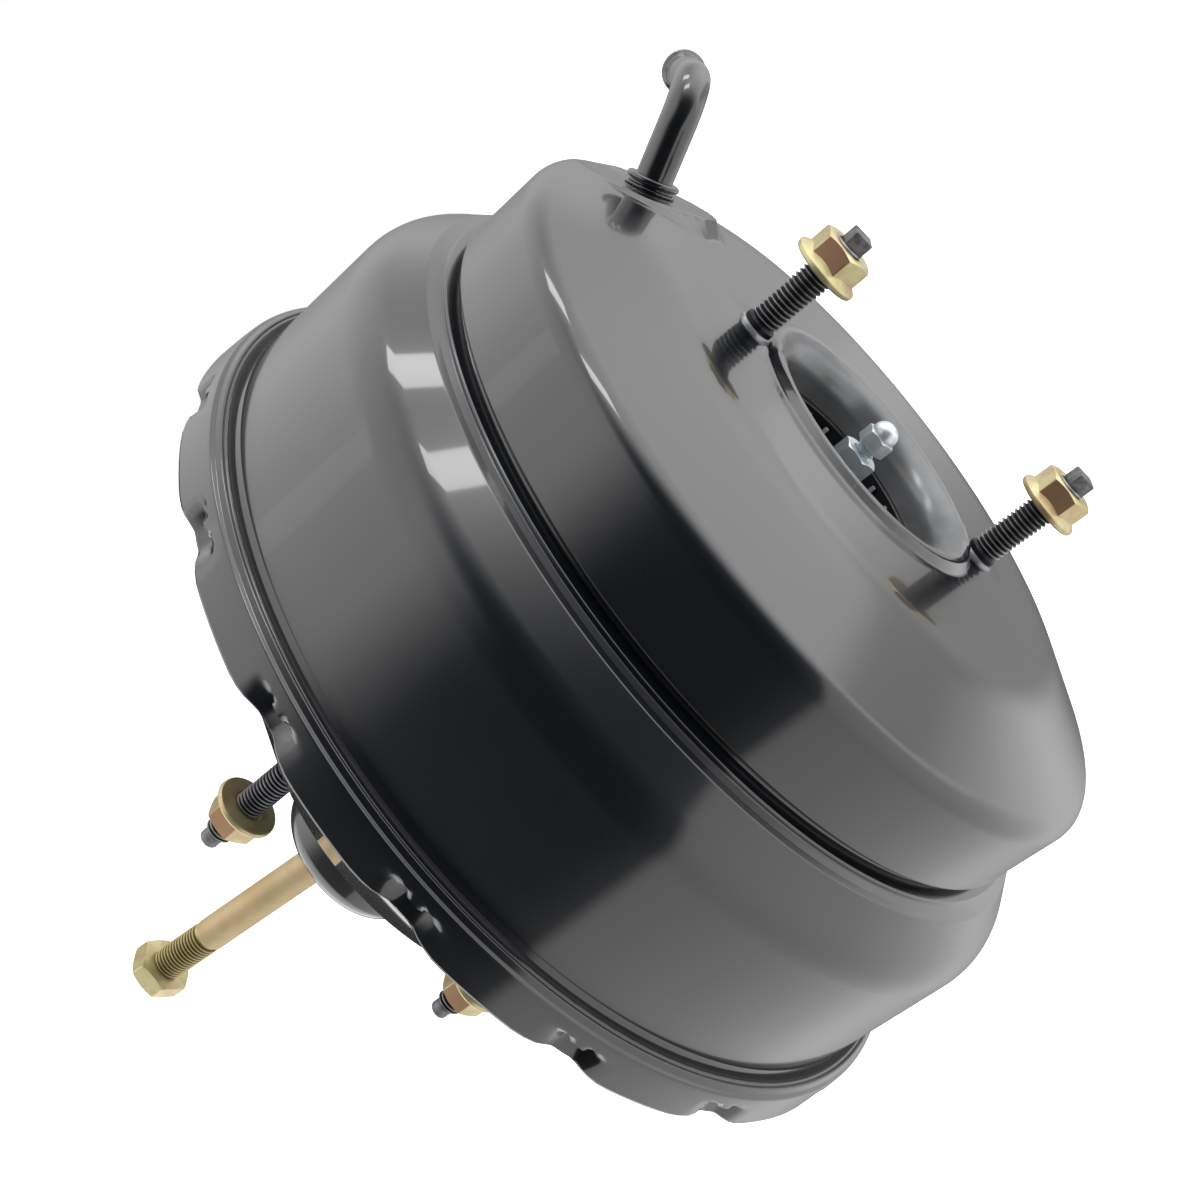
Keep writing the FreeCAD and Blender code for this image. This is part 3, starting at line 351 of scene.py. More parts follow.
# sizes and depths of patterns are in millimetres
finishes = {
    # gloss black paint of shells, tube and ferrule
    "enamel": stovedEnamel("blackStovingEnamel",
        colour="#0c0f15", peel=(5.0, 0.0006), hazeSize=30, roughness=(0.24, 0.34), coatRoughness=0.06,
        coatIor=1.6),
    # lighter grey satin on the inward faces of the mouth, in place of the black enamel there
    "mouth": platedSteel("greyMouthSatin",
        patchSize=12, marks=(0.6, 0.003), roughness=(0.2, 0.3), metallic=0.35,
        tints=[(0.3, "#6c6d6f"), (0.65, "#7f8082")]),
    # yellow chromate over zinc, as on the flange nuts
    "yellowZinc": platedSteel("yellowPassivatedZinc",
        patchSize=9, marks=(0.5, 0.004), roughness=(0.3, 0.42), metallic=0.66,
        tints=[(0.3, "#c9bb84"), (0.45, "#d9d0a0"), (0.58, "#cdb48c"), (0.68, "#d2c690"), (0.78, "#b8bb92")]),
    # the same film painted darker tan on the one flat of each nut that faces a fixed way: painted shade on
    # that side
    "tanSideShade": platedSteel("tanPaintedSideShade",
        patchSize=12, marks=(0.5, 0.004), roughness=(0.3, 0.42), metallic=0.66,
        tints=[(0.35, "#b28c6c"), (0.65, "#c29c7c")]),
    # the same film on the drawn push rod, more tan than green
    "goldRod": platedSteel("goldPassivatedRod",
        patchSize=14, marks=(0.6, 0.003), roughness=(0.42, 0.55), metallic=0.4, stretch=(0.08, 1, 1),
        tints=[(0.35, "#c3ab7c"), (0.55, "#cdb78c"), (0.7, "#c4a37c")]),
    # the studs' thread crests and staked ring painted light grey over their black finish: a painted highlight
    "highlightPhosphate": platedSteel("crestPaintedHighlight",
        patchSize=4, marks=(0.3, 0.004), roughness=(0.28, 0.38), metallic=0.6,
        tints=[(0.3, "#85868c"), (0.6, "#a6a7ac")]),
    # the smooth dark shank of the studs
    "shank": platedSteel("blackPhosphatedShank",
        patchSize=5, marks=(0.3, 0.004), roughness=(0.34, 0.46), metallic=0.55,
        tints=[(0.3, "#1c1d20"), (0.6, "#2a2b2f")]),
    # the same finish painted near black in the thread roots: painted shade in the recesses
    "threadRootShade": platedSteel("threadRootPaintedShade",
        patchSize=4, marks=(0.3, 0.004), roughness=(0.5, 0.6), metallic=0.2,
        tints=[(0.3, "#0a0a0c"), (0.6, "#131316")]),
    # thread roots of the yellow-plated push rod, painted darker: painted shade in the recesses
    "goldRootShade": platedSteel("goldThreadRootShade",
        patchSize=8, marks=(0.4, 0.004), roughness=(0.5, 0.6), metallic=0.3,
        tints=[(0.3, "#544a2a"), (0.6, "#6a5e38")]),
    # crests of the push rod's rolled thread
    "goldCrest": platedSteel("goldThreadCrest",
        patchSize=8, marks=(0.4, 0.004), roughness=(0.36, 0.46), metallic=0.45,
        tints=[(0.3, "#b8a970"), (0.6, "#c8ba84")]),
    # bare drive tips of the studs, darkened by heat treatment
    "bareTip": platedSteel("bareHardenedSteel",
        patchSize=2, marks=(0.3, 0.006), roughness=(0.4, 0.55), metallic=0.7,
        tints=[(0.3, "#5a5b5e"), (0.7, "#8c8c8e")]),
    # clear zinc on the output rod and its screw
    "clearZinc": platedSteel("clearPassivatedZinc",
        patchSize=3, marks=(0.4, 0.003), roughness=(0.3, 0.42), metallic=0.75,
        tints=[(0.3, "#ccd6dc"), (0.7, "#e8eef0")]),
    # mill steel of the pressed inner plates
    "coldRolled": platedSteel("coldRolledSteel",
        patchSize=25, marks=(0.8, 0.003), roughness=(0.32, 0.45),
        tints=[(0.35, "#8d8f92"), (0.65, "#a9abad")]),
    # oil-tempered wire of the springs
    "springWire": platedSteel("oilTemperedWire",
        patchSize=12, marks=(0.4, 0.003), roughness=(0.28, 0.4), metallic=0.9,
        tints=[(0.3, "#4a4a4c"), (0.7, "#6c6c6e")]),
    # glass-filled nylon of the ring, guide and cap
    "nylon": mouldedPlastic("blackGlassNylon",
        cloudSize=20, skin=(0.35, 0.01), roughness=(0.34, 0.5),
        colours=("#0d0e11", "#15161a")),
    # pale grey painted on the rib tops of the black nylon ring: a painted highlight
    "ribHighlight": mouldedPlastic("paintedRibHighlight",
        cloudSize=4, skin=(0.4, 0.004), roughness=(0.3, 0.4),
        colours=("#8b8c90", "#a0a1a4")),
    # phenolic moulding of the valve body
    "phenolic": mouldedPlastic("brownPhenolic",
        cloudSize=6, skin=(0.4, 0.012), roughness=(0.4, 0.55),
        colours=("#4a2c1a", "#5c3824")),
    # EPDM of diaphragms and seals, dusted matt
    "rubber": mouldedPlastic("blackRubber",
        cloudSize=14, skin=(0.5, 0.02), roughness=(0.6, 0.78),
        colours=("#17171a", "#222226")),
    # open-cell foam of the air filter
    "foam": mouldedPlastic("filterFoam",
        cloudSize=3, skin=(0.9, 0.4), roughness=(0.85, 0.98),
        colours=("#2b2b2e", "#46464a")),
    # pressed wool felt of the silencer
    "felt": mouldedPlastic("woolFelt",
        cloudSize=4, skin=(0.6, 0.3), roughness=(0.9, 1.0),
        colours=("#8d8a80", "#a8a498")),
}
print("finishes made:", len(finishes))

# finish of each CAD node that keeps its own shape
carriedNodes = {
    "coldRolled": ("front_stud_plate", "rear_stud_plate", "divider_plate", "front_support_plate",
                   "rear_support_plate", "rear_seal_cap", "poppet_retainer", "hub_retainer", "stopper_key"),
    "phenolic": ("hub_sleeve", "valve_body"), "clearZinc": ["plunger"], "nylon": ("guide_ring", "filter_cap"),
    "rubber": ("divider_seal", "rear_seal", "poppet_valve", "reaction_disc"),
    "foam": ["air_filter"], "felt": ["silencer"], "springWire": ["poppet_spring"],
}
for finishName, nodeNames in carriedNodes.items():
    for nodeName in nodeNames:
        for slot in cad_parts[nodeName].material_slots:
            slot.link = "OBJECT"
            slot.material = finishes[finishName]


# Front shell

shell = {
    "segments": 320, "wall": 1.8,
    "faceX": 153.5, "lipX": 155.5, "openingR": 27.5, "lipWidth": 8.0, "collarBackX": 144.0,
    "lipInnerBend": 7.4, "lipOuterBend": 1.2, "lipStep": 2.0, "lipStepBend": 1.6, "lipFoot": 3.4,
    "mouthReach": 5.6, "faceBend": 32.0, "faceStride": 1.8, "coneEnd": 3,
    "cornerX": 141.5, "cornerBend": 6.0, "bandR": 100.0, "coneAngle": 21.5, "bandBackX": 118.0,
    "grooveWidth": 2.0, "grooveDepth": 2.6, "grooveSlant": 0.4, "grooveBend": 0.7,
    "ridgeGap": 0.6, "ridgeRise": 1.8,
    # two ridges, as x and radius from the first crest, and bend
    "ridges": ((0, 0, 0.5), (-1.1, -0.5, 0.4), (-1.9, 1.5, 0.5)),
    "shoulderX": 113.0, "shoulderR": 105.0, "shoulderAngle": 42.0, "shoulderBend": 15.6, "drumR": 114.5,
    "flangeX": 60.2, "skirtFrontX": 58.4, "skirtFrontR": 120.2, "skirtBackX": 48.0, "skirtR": 121.2,
    # beads and grooves of the flange, as x from flangeX, radius over drumR, and bend
    "beads": ((2.0, 0.4, 0.5), (0, 1.1, 0.35), (0.7, 2.0, 0.4), (-0.8, 2.8, 0.45), (0.2, 3.8, 0.5),
              (-1.5, 4.7, 0.6)),
    "bossR": 8.5, "bossRise": 0.3, "bossSoft": (0.9, 0.3), "studZ": 41.2, "edgeRound": 0.7,
}
frontPlaces = [(0, -shell["studZ"]), (0, shell["studZ"])]
lance = {
    "count": 16, "phase": 6.0, "slitX": 54.2, "slitHalf": 4.2, "flatHalf": 2.2, "pocketHalf": 7.4,
    "frontDepth": 3.4, "backDepth": 1.5, "lobeHalf": 13.0, "lobeRise": 0.3, "bite": 1.5, "crowd": 0.7,
    "lipFade": 1.8, "lipSpan": 8.4, "lipShare": 0.8, "archFrom": 1.5, "rimReach": 4,
}
tube = {
    "r": 4.75, "boreR": 3.75, "footX": 146.48, "stationR": 82.0, "lean": 26.0, "turn": 29.0,
    "straight": 18.5, "bend": 11.0, "outlet": 26.0, "beadScale": 1.21, "beadBack": 1.4, "beadLand": 1.6,
    "beadSlope": 1.4, "beadSteps": 5, "bendSteps": 16, "rimRound": 0.25,
    "padR": 20.0, "padRise": 2.0, "padSoft": 2.0, "padReach": 12, "ferruleR": 6.9, "ferruleHeight": 3.2,
    "segments": 40,
}

cone = math.radians(shell["coneAngle"])
lanceFirst = math.radians(lance["phase"])
lancePeriod = 2 * math.pi / lance["count"]


def tubeFrame():
    # foot of the vacuum tube on the cone, its direction and the direction of its outlet
    turn, lean = math.radians(tube["turn"]), math.radians(tube["lean"])
    out = Vector((0, math.sin(turn), math.cos(turn)))
    foot = booster * tube["footX"] + out * tube["stationR"]
    along = booster * math.cos(lean) + out * math.sin(lean)
    sideways = (Vector((0, 1, 0)) - along * along.y).normalized()
    return foot, along, sideways


def shellRun():
    s = shell
    coneFall = 1 / math.tan(cone)
    ridgeX = s["bandBackX"] - s["grooveWidth"] - s["ridgeGap"]
    ridgeR = s["bandR"] + s["ridgeRise"]
    drumX = s["shoulderX"] - (s["drumR"] - s["shoulderR"]) / math.tan(math.radians(s["shoulderAngle"]))
    lipR = s["openingR"] + s["lipWidth"]
    faceEndR = s["bandR"] - (s["faceX"] - s["cornerX"]) * coneFall
    grooveR = s["bandR"] - s["grooveDepth"]
    faceStart = (s["faceX"], lipR + s["lipFoot"], 0)
    coneEnd = (s["cornerX"] + s["coneEnd"], s["bandR"] - s["coneEnd"] * coneFall, 0)
    collar = roundedRun([(s["collarBackX"], s["openingR"], 0), (s["lipX"], s["openingR"], s["lipInnerBend"]),
                         (s["lipX"], lipR, s["lipOuterBend"]),
                         (s["faceX"], lipR + s["lipStep"], s["lipStepBend"]), faceStart],
                        fine=6.0, coarse=18.0)
    face = roundedRun([faceStart, (s["faceX"], faceEndR, s["faceBend"]), coneEnd], stride=s["faceStride"])
    ridges = [(ridgeX + x, ridgeR + r, bend) for x, r, bend in s["ridges"]]
    beads = [(s["flangeX"] + x, s["drumR"] + r, bend) for x, r, bend in s["beads"]]
    band = roundedRun([coneEnd, (s["cornerX"], s["bandR"], s["cornerBend"]),
                       (s["bandBackX"], s["bandR"], 0.9),
                       (s["bandBackX"] - s["grooveSlant"], grooveR, s["grooveBend"]),
                       (s["bandBackX"] - s["grooveWidth"], grooveR, s["grooveBend"]), *ridges,
                       (s["shoulderX"], s["shoulderR"], 1.0), (drumX, s["drumR"], s["shoulderBend"]), *beads,
                       (s["skirtFrontX"], s["skirtFrontR"], 0.7),
                       (s["skirtFrontX"] - 1.4, s["skirtFrontR"] + 0.2, 0)], coarse=24.0)
    slit = Vector((lance["slitX"], 0, s["skirtFrontR"] + 0.5))
    skirtFront = [band[-1].lerp(slit, k / 4) for k in range(1, 5)]
    back = Vector((s["skirtBackX"], 0, s["skirtR"] - 0.3))
    skirtBack = [slit.lerp(back, k / 8) for k in range(1, 9)]
    return collar + face[1:] + band[1:] + skirtFront + skirtBack


def lancePlace(co):
    # distance in mm along the rim from the middle of the nearest lance
    angle = math.atan2(co.z, co.y) - lanceFirst
    angle -= lancePeriod * round(angle / lancePeriod)
    return angle * shell["skirtR"]


def crowdSegments(bm):
    # slides the segments round the axis so that they stand closer at the lances
    for v in bm.verts:
        angle = math.atan2(v.co.z, v.co.y)
        shift = -lance["crowd"] / lance["count"] * math.sin(lance["count"] * (angle - lanceFirst))
        v.co.rotate(Matrix.Rotation(shift, 3, booster))


def cutSlits(bm):
    edges = []
    for e in bm.edges:
        a, b = e.verts
        if abs(a.co.x - lance["slitX"]) < 0.01 and abs(b.co.x - lance["slitX"]) < 0.01:
            if max(abs(lancePlace(a.co)), abs(lancePlace(b.co))) < lance["slitHalf"]:
                edges.append(e)
    bmesh.ops.split_edges(bm, edges=edges)


def pressSkirt(bm):
    # presses the tongues in behind their slits, arches the lips and waves the rear edge
    s = shell
    for v in bm.verts:
        if v.co.x > lance["slitX"] + lance["lipFade"]:
            continue
        away = abs(lancePlace(v.co))
        radius = math.hypot(v.co.y, v.co.z)
        pocket = 1 - smoothStep(lance["flatHalf"], lance["pocketHalf"], away)
        back = (lance["slitX"] - v.co.x) / (lance["slitX"] - s["skirtBackX"])
        inFront = all(f.calc_center_median().x > lance["slitX"] for f in v.link_faces)
        if back > 0.01 or (abs(back) <= 0.01 and not inFront):
            depth = pocket * (lance["frontDepth"] + (lance["backDepth"] - lance["frontDepth"]) * back)
            depth *= 1 if abs(back) > 0.01 or away < lance["slitHalf"] else lance["lipShare"]
            lobe = 1 - smoothStep(lance["flatHalf"], lance["lobeHalf"], away)
            rise = lance["lobeRise"] * max(0.0, back) * (1 - lobe)
            v.co.x += lance["bite"] * lobe * max(0.0, back) ** 2
            scale = (radius - depth + rise) / radius
        else:
            fade = max(0.0, 1 - max(0.0, -back * lance["lipSpan"]) / lance["lipFade"])
            arch = smoothStep(lance["archFrom"], lance["slitHalf"], away)
            scale = (radius - pocket * lance["frontDepth"] * lance["lipShare"] * arch * fade) / radius
        v.co.y *= scale
        v.co.z *= scale


def raiseBosses(v, places, look):
    # lifts the metal a little round each stud
    inner, outer = look["bossSoft"]
    for y, z in places:
        reach = math.hypot(v.co.y - y, v.co.z - z)
        v.co.x += look["bossRise"] * (1 - smoothStep(look["bossR"] - inner, look["bossR"] + outer, reach))


def raisePads(bm):
    # flat pad on the cone under the tube, and the faint bosses round the studs
    foot, along = tubeFrame()[:2]
    for v in bm.verts:
        if v.co.x < shell["cornerX"] - 2:
            continue
        apart = v.co - foot
        height = apart.dot(along)
        reach = (apart - along * height).length
        if reach < tube["padR"] and abs(height) < tube["padReach"]:
            blend = 1 - smoothStep(tube["padR"] - tube["padSoft"], tube["padR"], reach)
            v.co += along * (tube["padRise"] - height) * blend
        raiseBosses(v, frontPlaces, shell)


def makeFrontShell():
    s = shell
    bm = bmesh.new()
    spinRun(bm, shellRun(), shell["segments"])
    crowdSegments(bm)
    raisePads(bm)
    cutSlits(bm)
    pressSkirt(bm)
    outward(bm)
    top = max(bm.faces, key=lambda f: f.calc_center_median().x)
    if top.normal.x < 0:
        bmesh.ops.reverse_faces(bm, faces=bm.faces)
    bmesh.ops.solidify(bm, geom=list(bm.faces), thickness=s["wall"])
    rimX = lance["slitX"] - lance["rimReach"]
    rims = [e for e in sharpEdges(bm) if (e.verts[0].co.x + e.verts[1].co.x) / 2 < rimX]
    roundEdges(bm, rims, s["edgeRound"])
    for f in bm.faces:
        middle = f.calc_center_median()
        reach = math.hypot(middle.y, middle.z)
        inward = f.normal.y * middle.y + f.normal.z * middle.z < -0.2 * reach
        if middle.x > s["collarBackX"] and reach < s["openingR"] + s["mouthReach"] and inward:
            f.material_index = 1
    makePiece(bm, "frontShell", "housing", ("enamel", "mouth"), "front_shell")


makeFrontShell()


# Rear shell

rear = {
    "segments": 224, "stride": 3.0, "wall": 1.6, "rimX": 56.4, "rimR": 116.8, "rimLand": 13.0,
    "dishX": 28.0, "dishR": 91.0, "dishBend": 16.0, "firewallR": 58.5, "firewallBend": 6.0, "smallBend": 3.0,
    "neckR": 23.5, "neckLength": 37.0, "neckHoleR": 16.5, "neckBend": 6.5,
    "bossR": 9.0, "bossRise": 0.3, "bossSoft": (1.2, 0.6), "studY": 30.0, "studZ": 41.0,
}
rearPlaces = [(y, z) for y in (-rear["studY"], rear["studY"]) for z in (-rear["studZ"], rear["studZ"])]


def makeRearShell():
    r = rear
    run = roundedRun([(r["rimX"], r["rimR"], 0), (r["rimX"], r["dishR"] + r["rimLand"], r["smallBend"]),
                      (r["dishX"], r["dishR"], r["dishBend"]), (0, r["firewallR"], r["firewallBend"]),
                      (0, r["neckR"], r["smallBend"]), (-r["neckLength"], r["neckR"], r["neckBend"]),
                      (-r["neckLength"], r["neckHoleR"], 0)], stride=r["stride"])
    bm = bmesh.new()
    spinRun(bm, run, r["segments"])
    for v in bm.verts:
        if abs(v.co.x) <= 0.5:
            raiseBosses(v, rearPlaces, r)
    outward(bm)
    neck = min(bm.faces, key=lambda f: f.calc_center_median().x)
    if neck.normal.x > 0:
        bmesh.ops.reverse_faces(bm, faces=bm.faces)
    bmesh.ops.solidify(bm, geom=list(bm.faces), thickness=r["wall"])
    makePiece(bm, "rearShell", "housing", ["enamel"], "rear_shell")


makeRearShell()


# Studs

stud = {
    "r": 4.1, "neckR": 4.4, "threadR": 3.9, "pitch": 1.25, "threadDepth": 0.72, "chamfer": 0.7,
    "headR": 6.4, "headHeight": 2.7, "frontBoss": 153.75, "frontInner": 149.2, "frontThread": 156.4,
    "stakeR": 4.9, "stakeRise": 0.7,
    "frontEnd": 182.6, "frontTip": 3.7, "frontTipWidth": 5.2, "tipRound": 0.45,
    "rearInner": 4.1, "rearThread": -3.0, "rearEnd": -33.0, "rearTip": 4.0, "rearTipR": 2.7,
    "finishes": ("shank", "bareTip", "threadRootShade", "highlightPhosphate"),    # face indices 0 to 3
}


def turnedSolid(bm, corners, segments=48, **detail):
    # a closed solid of revolution whose run starts and ends on the axis or closes on itself
    part = bmesh.new()
    onAxis = corners[0][1] == 0
    spinRun(part, roundedRun(corners, closed=not onAxis, **detail), segments, closed=not onAxis)
    outward(part)
    appendTo(bm, part)


def frontStudMesh(bm):
    s = stud
    turnedSolid(bm, [(s["frontInner"] - s["headHeight"], 0, 0),
                     (s["frontInner"] - s["headHeight"], s["headR"], 0.6),
                     (s["frontInner"], s["headR"], 0.3), (s["frontInner"], s["neckR"], 0.2),
                     (s["frontBoss"], s["neckR"], 0.15), (s["frontBoss"], s["r"], 0.1),
                     (s["frontThread"] - 0.5, s["r"], 0.2), (s["frontThread"] + 0.4, s["threadR"] - 0.7, 0),
                     (s["frontThread"] + 0.4, 0, 0)])
    threadOn(bm, s["frontThread"], s["frontEnd"], s["threadR"], s["pitch"], s["threadDepth"], s["chamfer"],
             crest=3, root=2)
    stake = bmesh.new()
    turnedSolid(stake, [(s["frontBoss"] - 0.1, s["neckR"] - 0.4, 0), (s["frontBoss"] - 0.1, s["stakeR"], 0.1),
                        (s["frontBoss"] + s["stakeRise"], s["stakeR"] - 0.3, 0.2),
                        (s["frontBoss"] + s["stakeRise"] + 0.3, s["neckR"] - 0.5, 0)])
    # the staked ring takes the crest finish, painted light grey as a highlight
    paint(stake, 3)
    appendTo(bm, stake)
    tip = bmesh.new()
    length = s["frontTip"] + 0.4
    box(tip, s["frontEnd"] - 0.4 + length / 2, 0, length, s["frontTipWidth"], s["frontTipWidth"])
    roundEdges(tip, list(tip.edges), s["tipRound"])
    paint(tip, 1)
    appendTo(bm, tip)


def rearStudMesh(bm):
    s = stud
    turnedSolid(bm, [(s["rearInner"] + s["headHeight"], 0, 0),
                     (s["rearInner"] + s["headHeight"], s["headR"], 0.6), (s["rearInner"], s["headR"], 0.3),
                     (s["rearInner"], s["neckR"], 0.2), (0, s["neckR"], 0.15), (0, s["r"], 0.1),
                     (s["rearThread"] + 0.5, s["r"], 0.2), (s["rearThread"] - 0.4, s["threadR"] - 0.7, 0),
                     (s["rearThread"] - 0.4, 0, 0)])
    threadOn(bm, s["rearEnd"], s["rearThread"], s["threadR"], s["pitch"], s["threadDepth"], s["chamfer"],
             crest=3, root=2)
    tip = bmesh.new()
    turnedSolid(tip, [(s["rearEnd"] + 0.3, 0, 0), (s["rearEnd"] + 0.3, s["rearTipR"], 0),
                      (s["rearEnd"] - s["rearTip"], s["rearTipR"], 0.6), (s["rearEnd"] - s["rearTip"], 0, 0)])
    paint(tip, 1)
    appendTo(bm, tip)


for pieceName, nodeName, drawStud, places in (("frontStuds", "front_studs", frontStudMesh, frontPlaces),
                                              ("rearStuds", "rear_studs", rearStudMesh, rearPlaces)):
    bm = bmesh.new()
    drawStud(bm)
    spreadTo(bm, places)
    makePiece(bm, pieceName, "housing", stud["finishes"], nodeName)


# Flange nuts

nut = {
    "width": 13.0, "height": 8.0, "flangeR": 8.95, "flangeHeight": 1.4, "boreR": 3.5, "sinkR": 4.5,
    "crown": 0.9, "edge": 0.35, "skirt": 1.6, "shadedFlatFacing": Vector((0, -0.87, 0.5)),
    "frontX": 174.1, "rearX": -20.0,
}


def flangeNutMesh(bm):
    # drawn with its flange face at x = 0 and its body towards +X
    n = nut
    cornerR = n["width"] / math.sqrt(3)
    body = bmesh.new()
    blankR = cornerR + 0.4
    crownRun = [(0.3, n["boreR"], 0), (0.3, blankR, 0), (n["height"] - n["crown"], blankR, 0),
                (n["height"], blankR - n["crown"] * 2.0, 0.3), (n["height"], n["sinkR"], 0.2),
                (n["height"] - 0.9, n["boreR"], 0)]
    spinRun(body, roundedRun(crownRun, closed=True), 72, closed=True)
    outward(body)
    cutHexagon(body, n["width"])
    softenFlats(body, n["edge"])
    outward(body)
    # the flat turned a fixed way takes the darker tan: painted shade
    for f in body.faces:
        if f.normal.dot(n["shadedFlatFacing"]) > 0.95:
            f.material_index = 1
    appendTo(bm, body)
    skirtX = n["flangeHeight"] + n["skirt"]
    turnedSolid(bm, [(0, n["sinkR"], 0.2), (0, n["flangeR"] - 0.2, 0.5),
                     (n["flangeHeight"], n["flangeR"], 0.5), (skirtX, n["width"] / 2 - 0.1, 0.8),
                     (skirtX, n["boreR"], 0), (0.9, n["boreR"], 0)], 72)


for pieceName, nodeName, places, nutX in (("frontNuts", "front_nuts", frontPlaces, nut["frontX"]),
                                          ("rearNuts", "rear_nuts", rearPlaces, nut["rearX"])):
    bm = bmesh.new()
    flangeNutMesh(bm)
    if nutX < 0:
        # faces the other way, with its painted-shade flat still on its lower side
        turnBack = Matrix.Rotation(math.radians(120), 3, "X") @ Matrix.Rotation(math.pi, 3, "Z")
        bmesh.ops.rotate(bm, verts=bm.verts, cent=(0, 0, 0), matrix=turnBack)
    bmesh.ops.translate(bm, verts=bm.verts, vec=(nutX, 0, 0))
    spreadTo(bm, places)
    makePiece(bm, pieceName, "housing", ("yellowZinc", "tanSideShade"), nodeName)


# Vacuum tube and ferrule

def makeTube():
    t = tube
    foot, along, sideways = tubeFrame()
    bm = bmesh.new()
    ring = ringOf(bm, foot - along * 3, along, t["r"], t["segments"])
    for k in range(6):
        ring = pushRing(bm, ring, move=along * ((t["straight"] + 3) / 6))
    pivot = foot + along * t["straight"] + sideways * t["bend"]
    across = along.cross(sideways).normalized()
    for k in range(t["bendSteps"]):
        ring = pushRing(bm, ring, turn=(pivot, across, math.pi / 2 / t["bendSteps"]))
    bead = t["beadSlope"] + t["beadLand"]
    for k in range(6):
        ring = pushRing(bm, ring, move=sideways * ((t["outlet"] - t["beadBack"] - bead) / 6))
    steps = t["beadSteps"]
    for way, length in ((1, t["beadSlope"]), (0, t["beadLand"]), (-1, t["beadBack"])):
        for k in range(steps):
            low, high = (smoothStep(0, 1, (k + j) / steps) * (t["beadScale"] - 1) for j in (0, 1))
            growth = (1 + high) / (1 + low)
            if way < 1:
                growth = (t["beadScale"] - high) / (t["beadScale"] - low) if way else 1.0
            ring = pushRing(bm, ring, move=sideways * (length / steps), scale=growth)
    outward(bm)
    face = max(bm.faces, key=lambda f: (f.calc_center_median() - foot).dot(along))
    if face.normal.dot(face.calc_center_median() - pivot) < 0:
        bmesh.ops.reverse_faces(bm, faces=bm.faces)
    bmesh.ops.solidify(bm, geom=list(bm.faces), thickness=t["r"] - t["boreR"])
    roundEdges(bm, sharpEdges(bm), t["rimRound"])
    makePiece(bm, "vacuumTube", "housing", ["enamel"], "vacuum_tube")


def makeFerrule():
    t = tube
    foot, along = tubeFrame()[:2]
    base, outer = t["padRise"], t["ferruleR"]
    top = base + t["ferruleHeight"]
    bm = bmesh.new()
    turnedSolid(bm, [(base, t["r"], 0), (base, outer - 0.3, 0.3), (base + 0.7, outer - 0.3, 0.3),
                     (base + 1.0, outer - 1.0, 0.2), (base + 1.5, outer - 1.0, 0.2), (base + 1.8, outer, 0.6),
                     (top, outer - 0.2, 0.7), (top, t["r"], 0)], 56)
    turn = along.to_track_quat("X", "Z").to_matrix()
    bmesh.ops.rotate(bm, verts=bm.verts, cent=(0, 0, 0), matrix=turn)
    bmesh.ops.translate(bm, verts=bm.verts, vec=foot)
    makePiece(bm, "tubeFerrule", "housing", ["enamel"], "tube_ferrule")


makeTube()
makeFerrule()


# Ribbed ring behind the opening

ringPiece = {
    "backX": 134.2, "frontX": 144.0, "boreR": 25.6, "clipR": 30.2, "clipLength": 4.0, "collarR": 29.35,
    "ribs": 24, "ribHeight": 1.0, "ribWidth": 1.3, "ribSunk": 0.4, "ribShort": 1.5, "ribRound": 0.3,
    "ribLit": 0.35,
}


def makeRibbedRing():
    p = ringPiece
    landX, clipX = p["frontX"] - 0.05, p["frontX"] + p["clipLength"]
    bm = bmesh.new()
    turnedSolid(bm, [(p["backX"], p["boreR"], 0.3), (landX, p["boreR"], 0.5), (landX, p["collarR"], 0),
                     (clipX, p["collarR"], 0), (clipX, p["clipR"], 0.3), (p["backX"], p["clipR"], 1.2)], 120)
    rib = bmesh.new()
    length = p["frontX"] - p["ribShort"] - p["backX"]
    box(rib, p["backX"] + length / 2, p["boreR"] + p["ribSunk"] - p["ribHeight"] / 2, length, p["ribWidth"],
        p["ribHeight"] + 2 * p["ribSunk"])
    roundEdges(rib, list(rib.edges), p["ribRound"])
    outward(rib)
    # rib faces that reach into the bore take the pale painted highlight
    for f in rib.faces:
        if f.calc_center_median().z < p["boreR"] - p["ribHeight"] * p["ribLit"]:
            f.material_index = 1
    carrier = meshFrom(rib, "carrier")
    for k in range(p["ribs"]):
        step = bmesh.new()
        step.from_mesh(carrier)
        appendTo(bm, step, Matrix.Rotation(2 * math.pi * k / p["ribs"], 4, "X"))
    bpy.data.meshes.remove(carrier)
    makePiece(bm, "ribbedRing", "housing", ("nylon", "ribHighlight"), "ribbed_ring")


makeRibbedRing()


# Output rod and its adjusting screw

rodOut = {
    "baseX": 57.0, "baseWidth": 4.0, "baseR": 11.95, "r": 4.6, "hexX": 146.0, "hexWidth": 9.4,
    "hexHeight": 5.4, "screwR": 2.7, "screwPitch": 1.0, "screwDepth": 0.55, "screwSunk": 5.0, "screwGap": 2.2,
    "screwHex": 7.4, "screwHexHeight": 4.0, "domeR": 3.4, "tipX": 161.3,
}


def hexBody(bm, x0, x1, width, innerR, crownBack, crownFront, edge=0.3, turned=0.0):
    # hexagon between two places with its corners turned off at the chosen ends
    cornerR = width / math.sqrt(3) + 0.3
    blank = bmesh.new()
    run = [(x0, innerR, 0), (x0, cornerR - crownBack * 1.8, 0), (x0 + crownBack, cornerR, 0),
           (x1 - crownFront, cornerR, 0), (x1, cornerR - crownFront * 1.8, 0), (x1, innerR, 0)]
    if not crownBack:
        run.pop(2)
    if not crownFront:
        run.pop(-3)
    onAxis = innerR == 0
    spinRun(blank, roundedRun(run, closed=not onAxis), 60, closed=not onAxis)
    outward(blank)
    cutHexagon(blank, width, turned)
    softenFlats(blank, edge)
    outward(blank)
    appendTo(bm, blank)


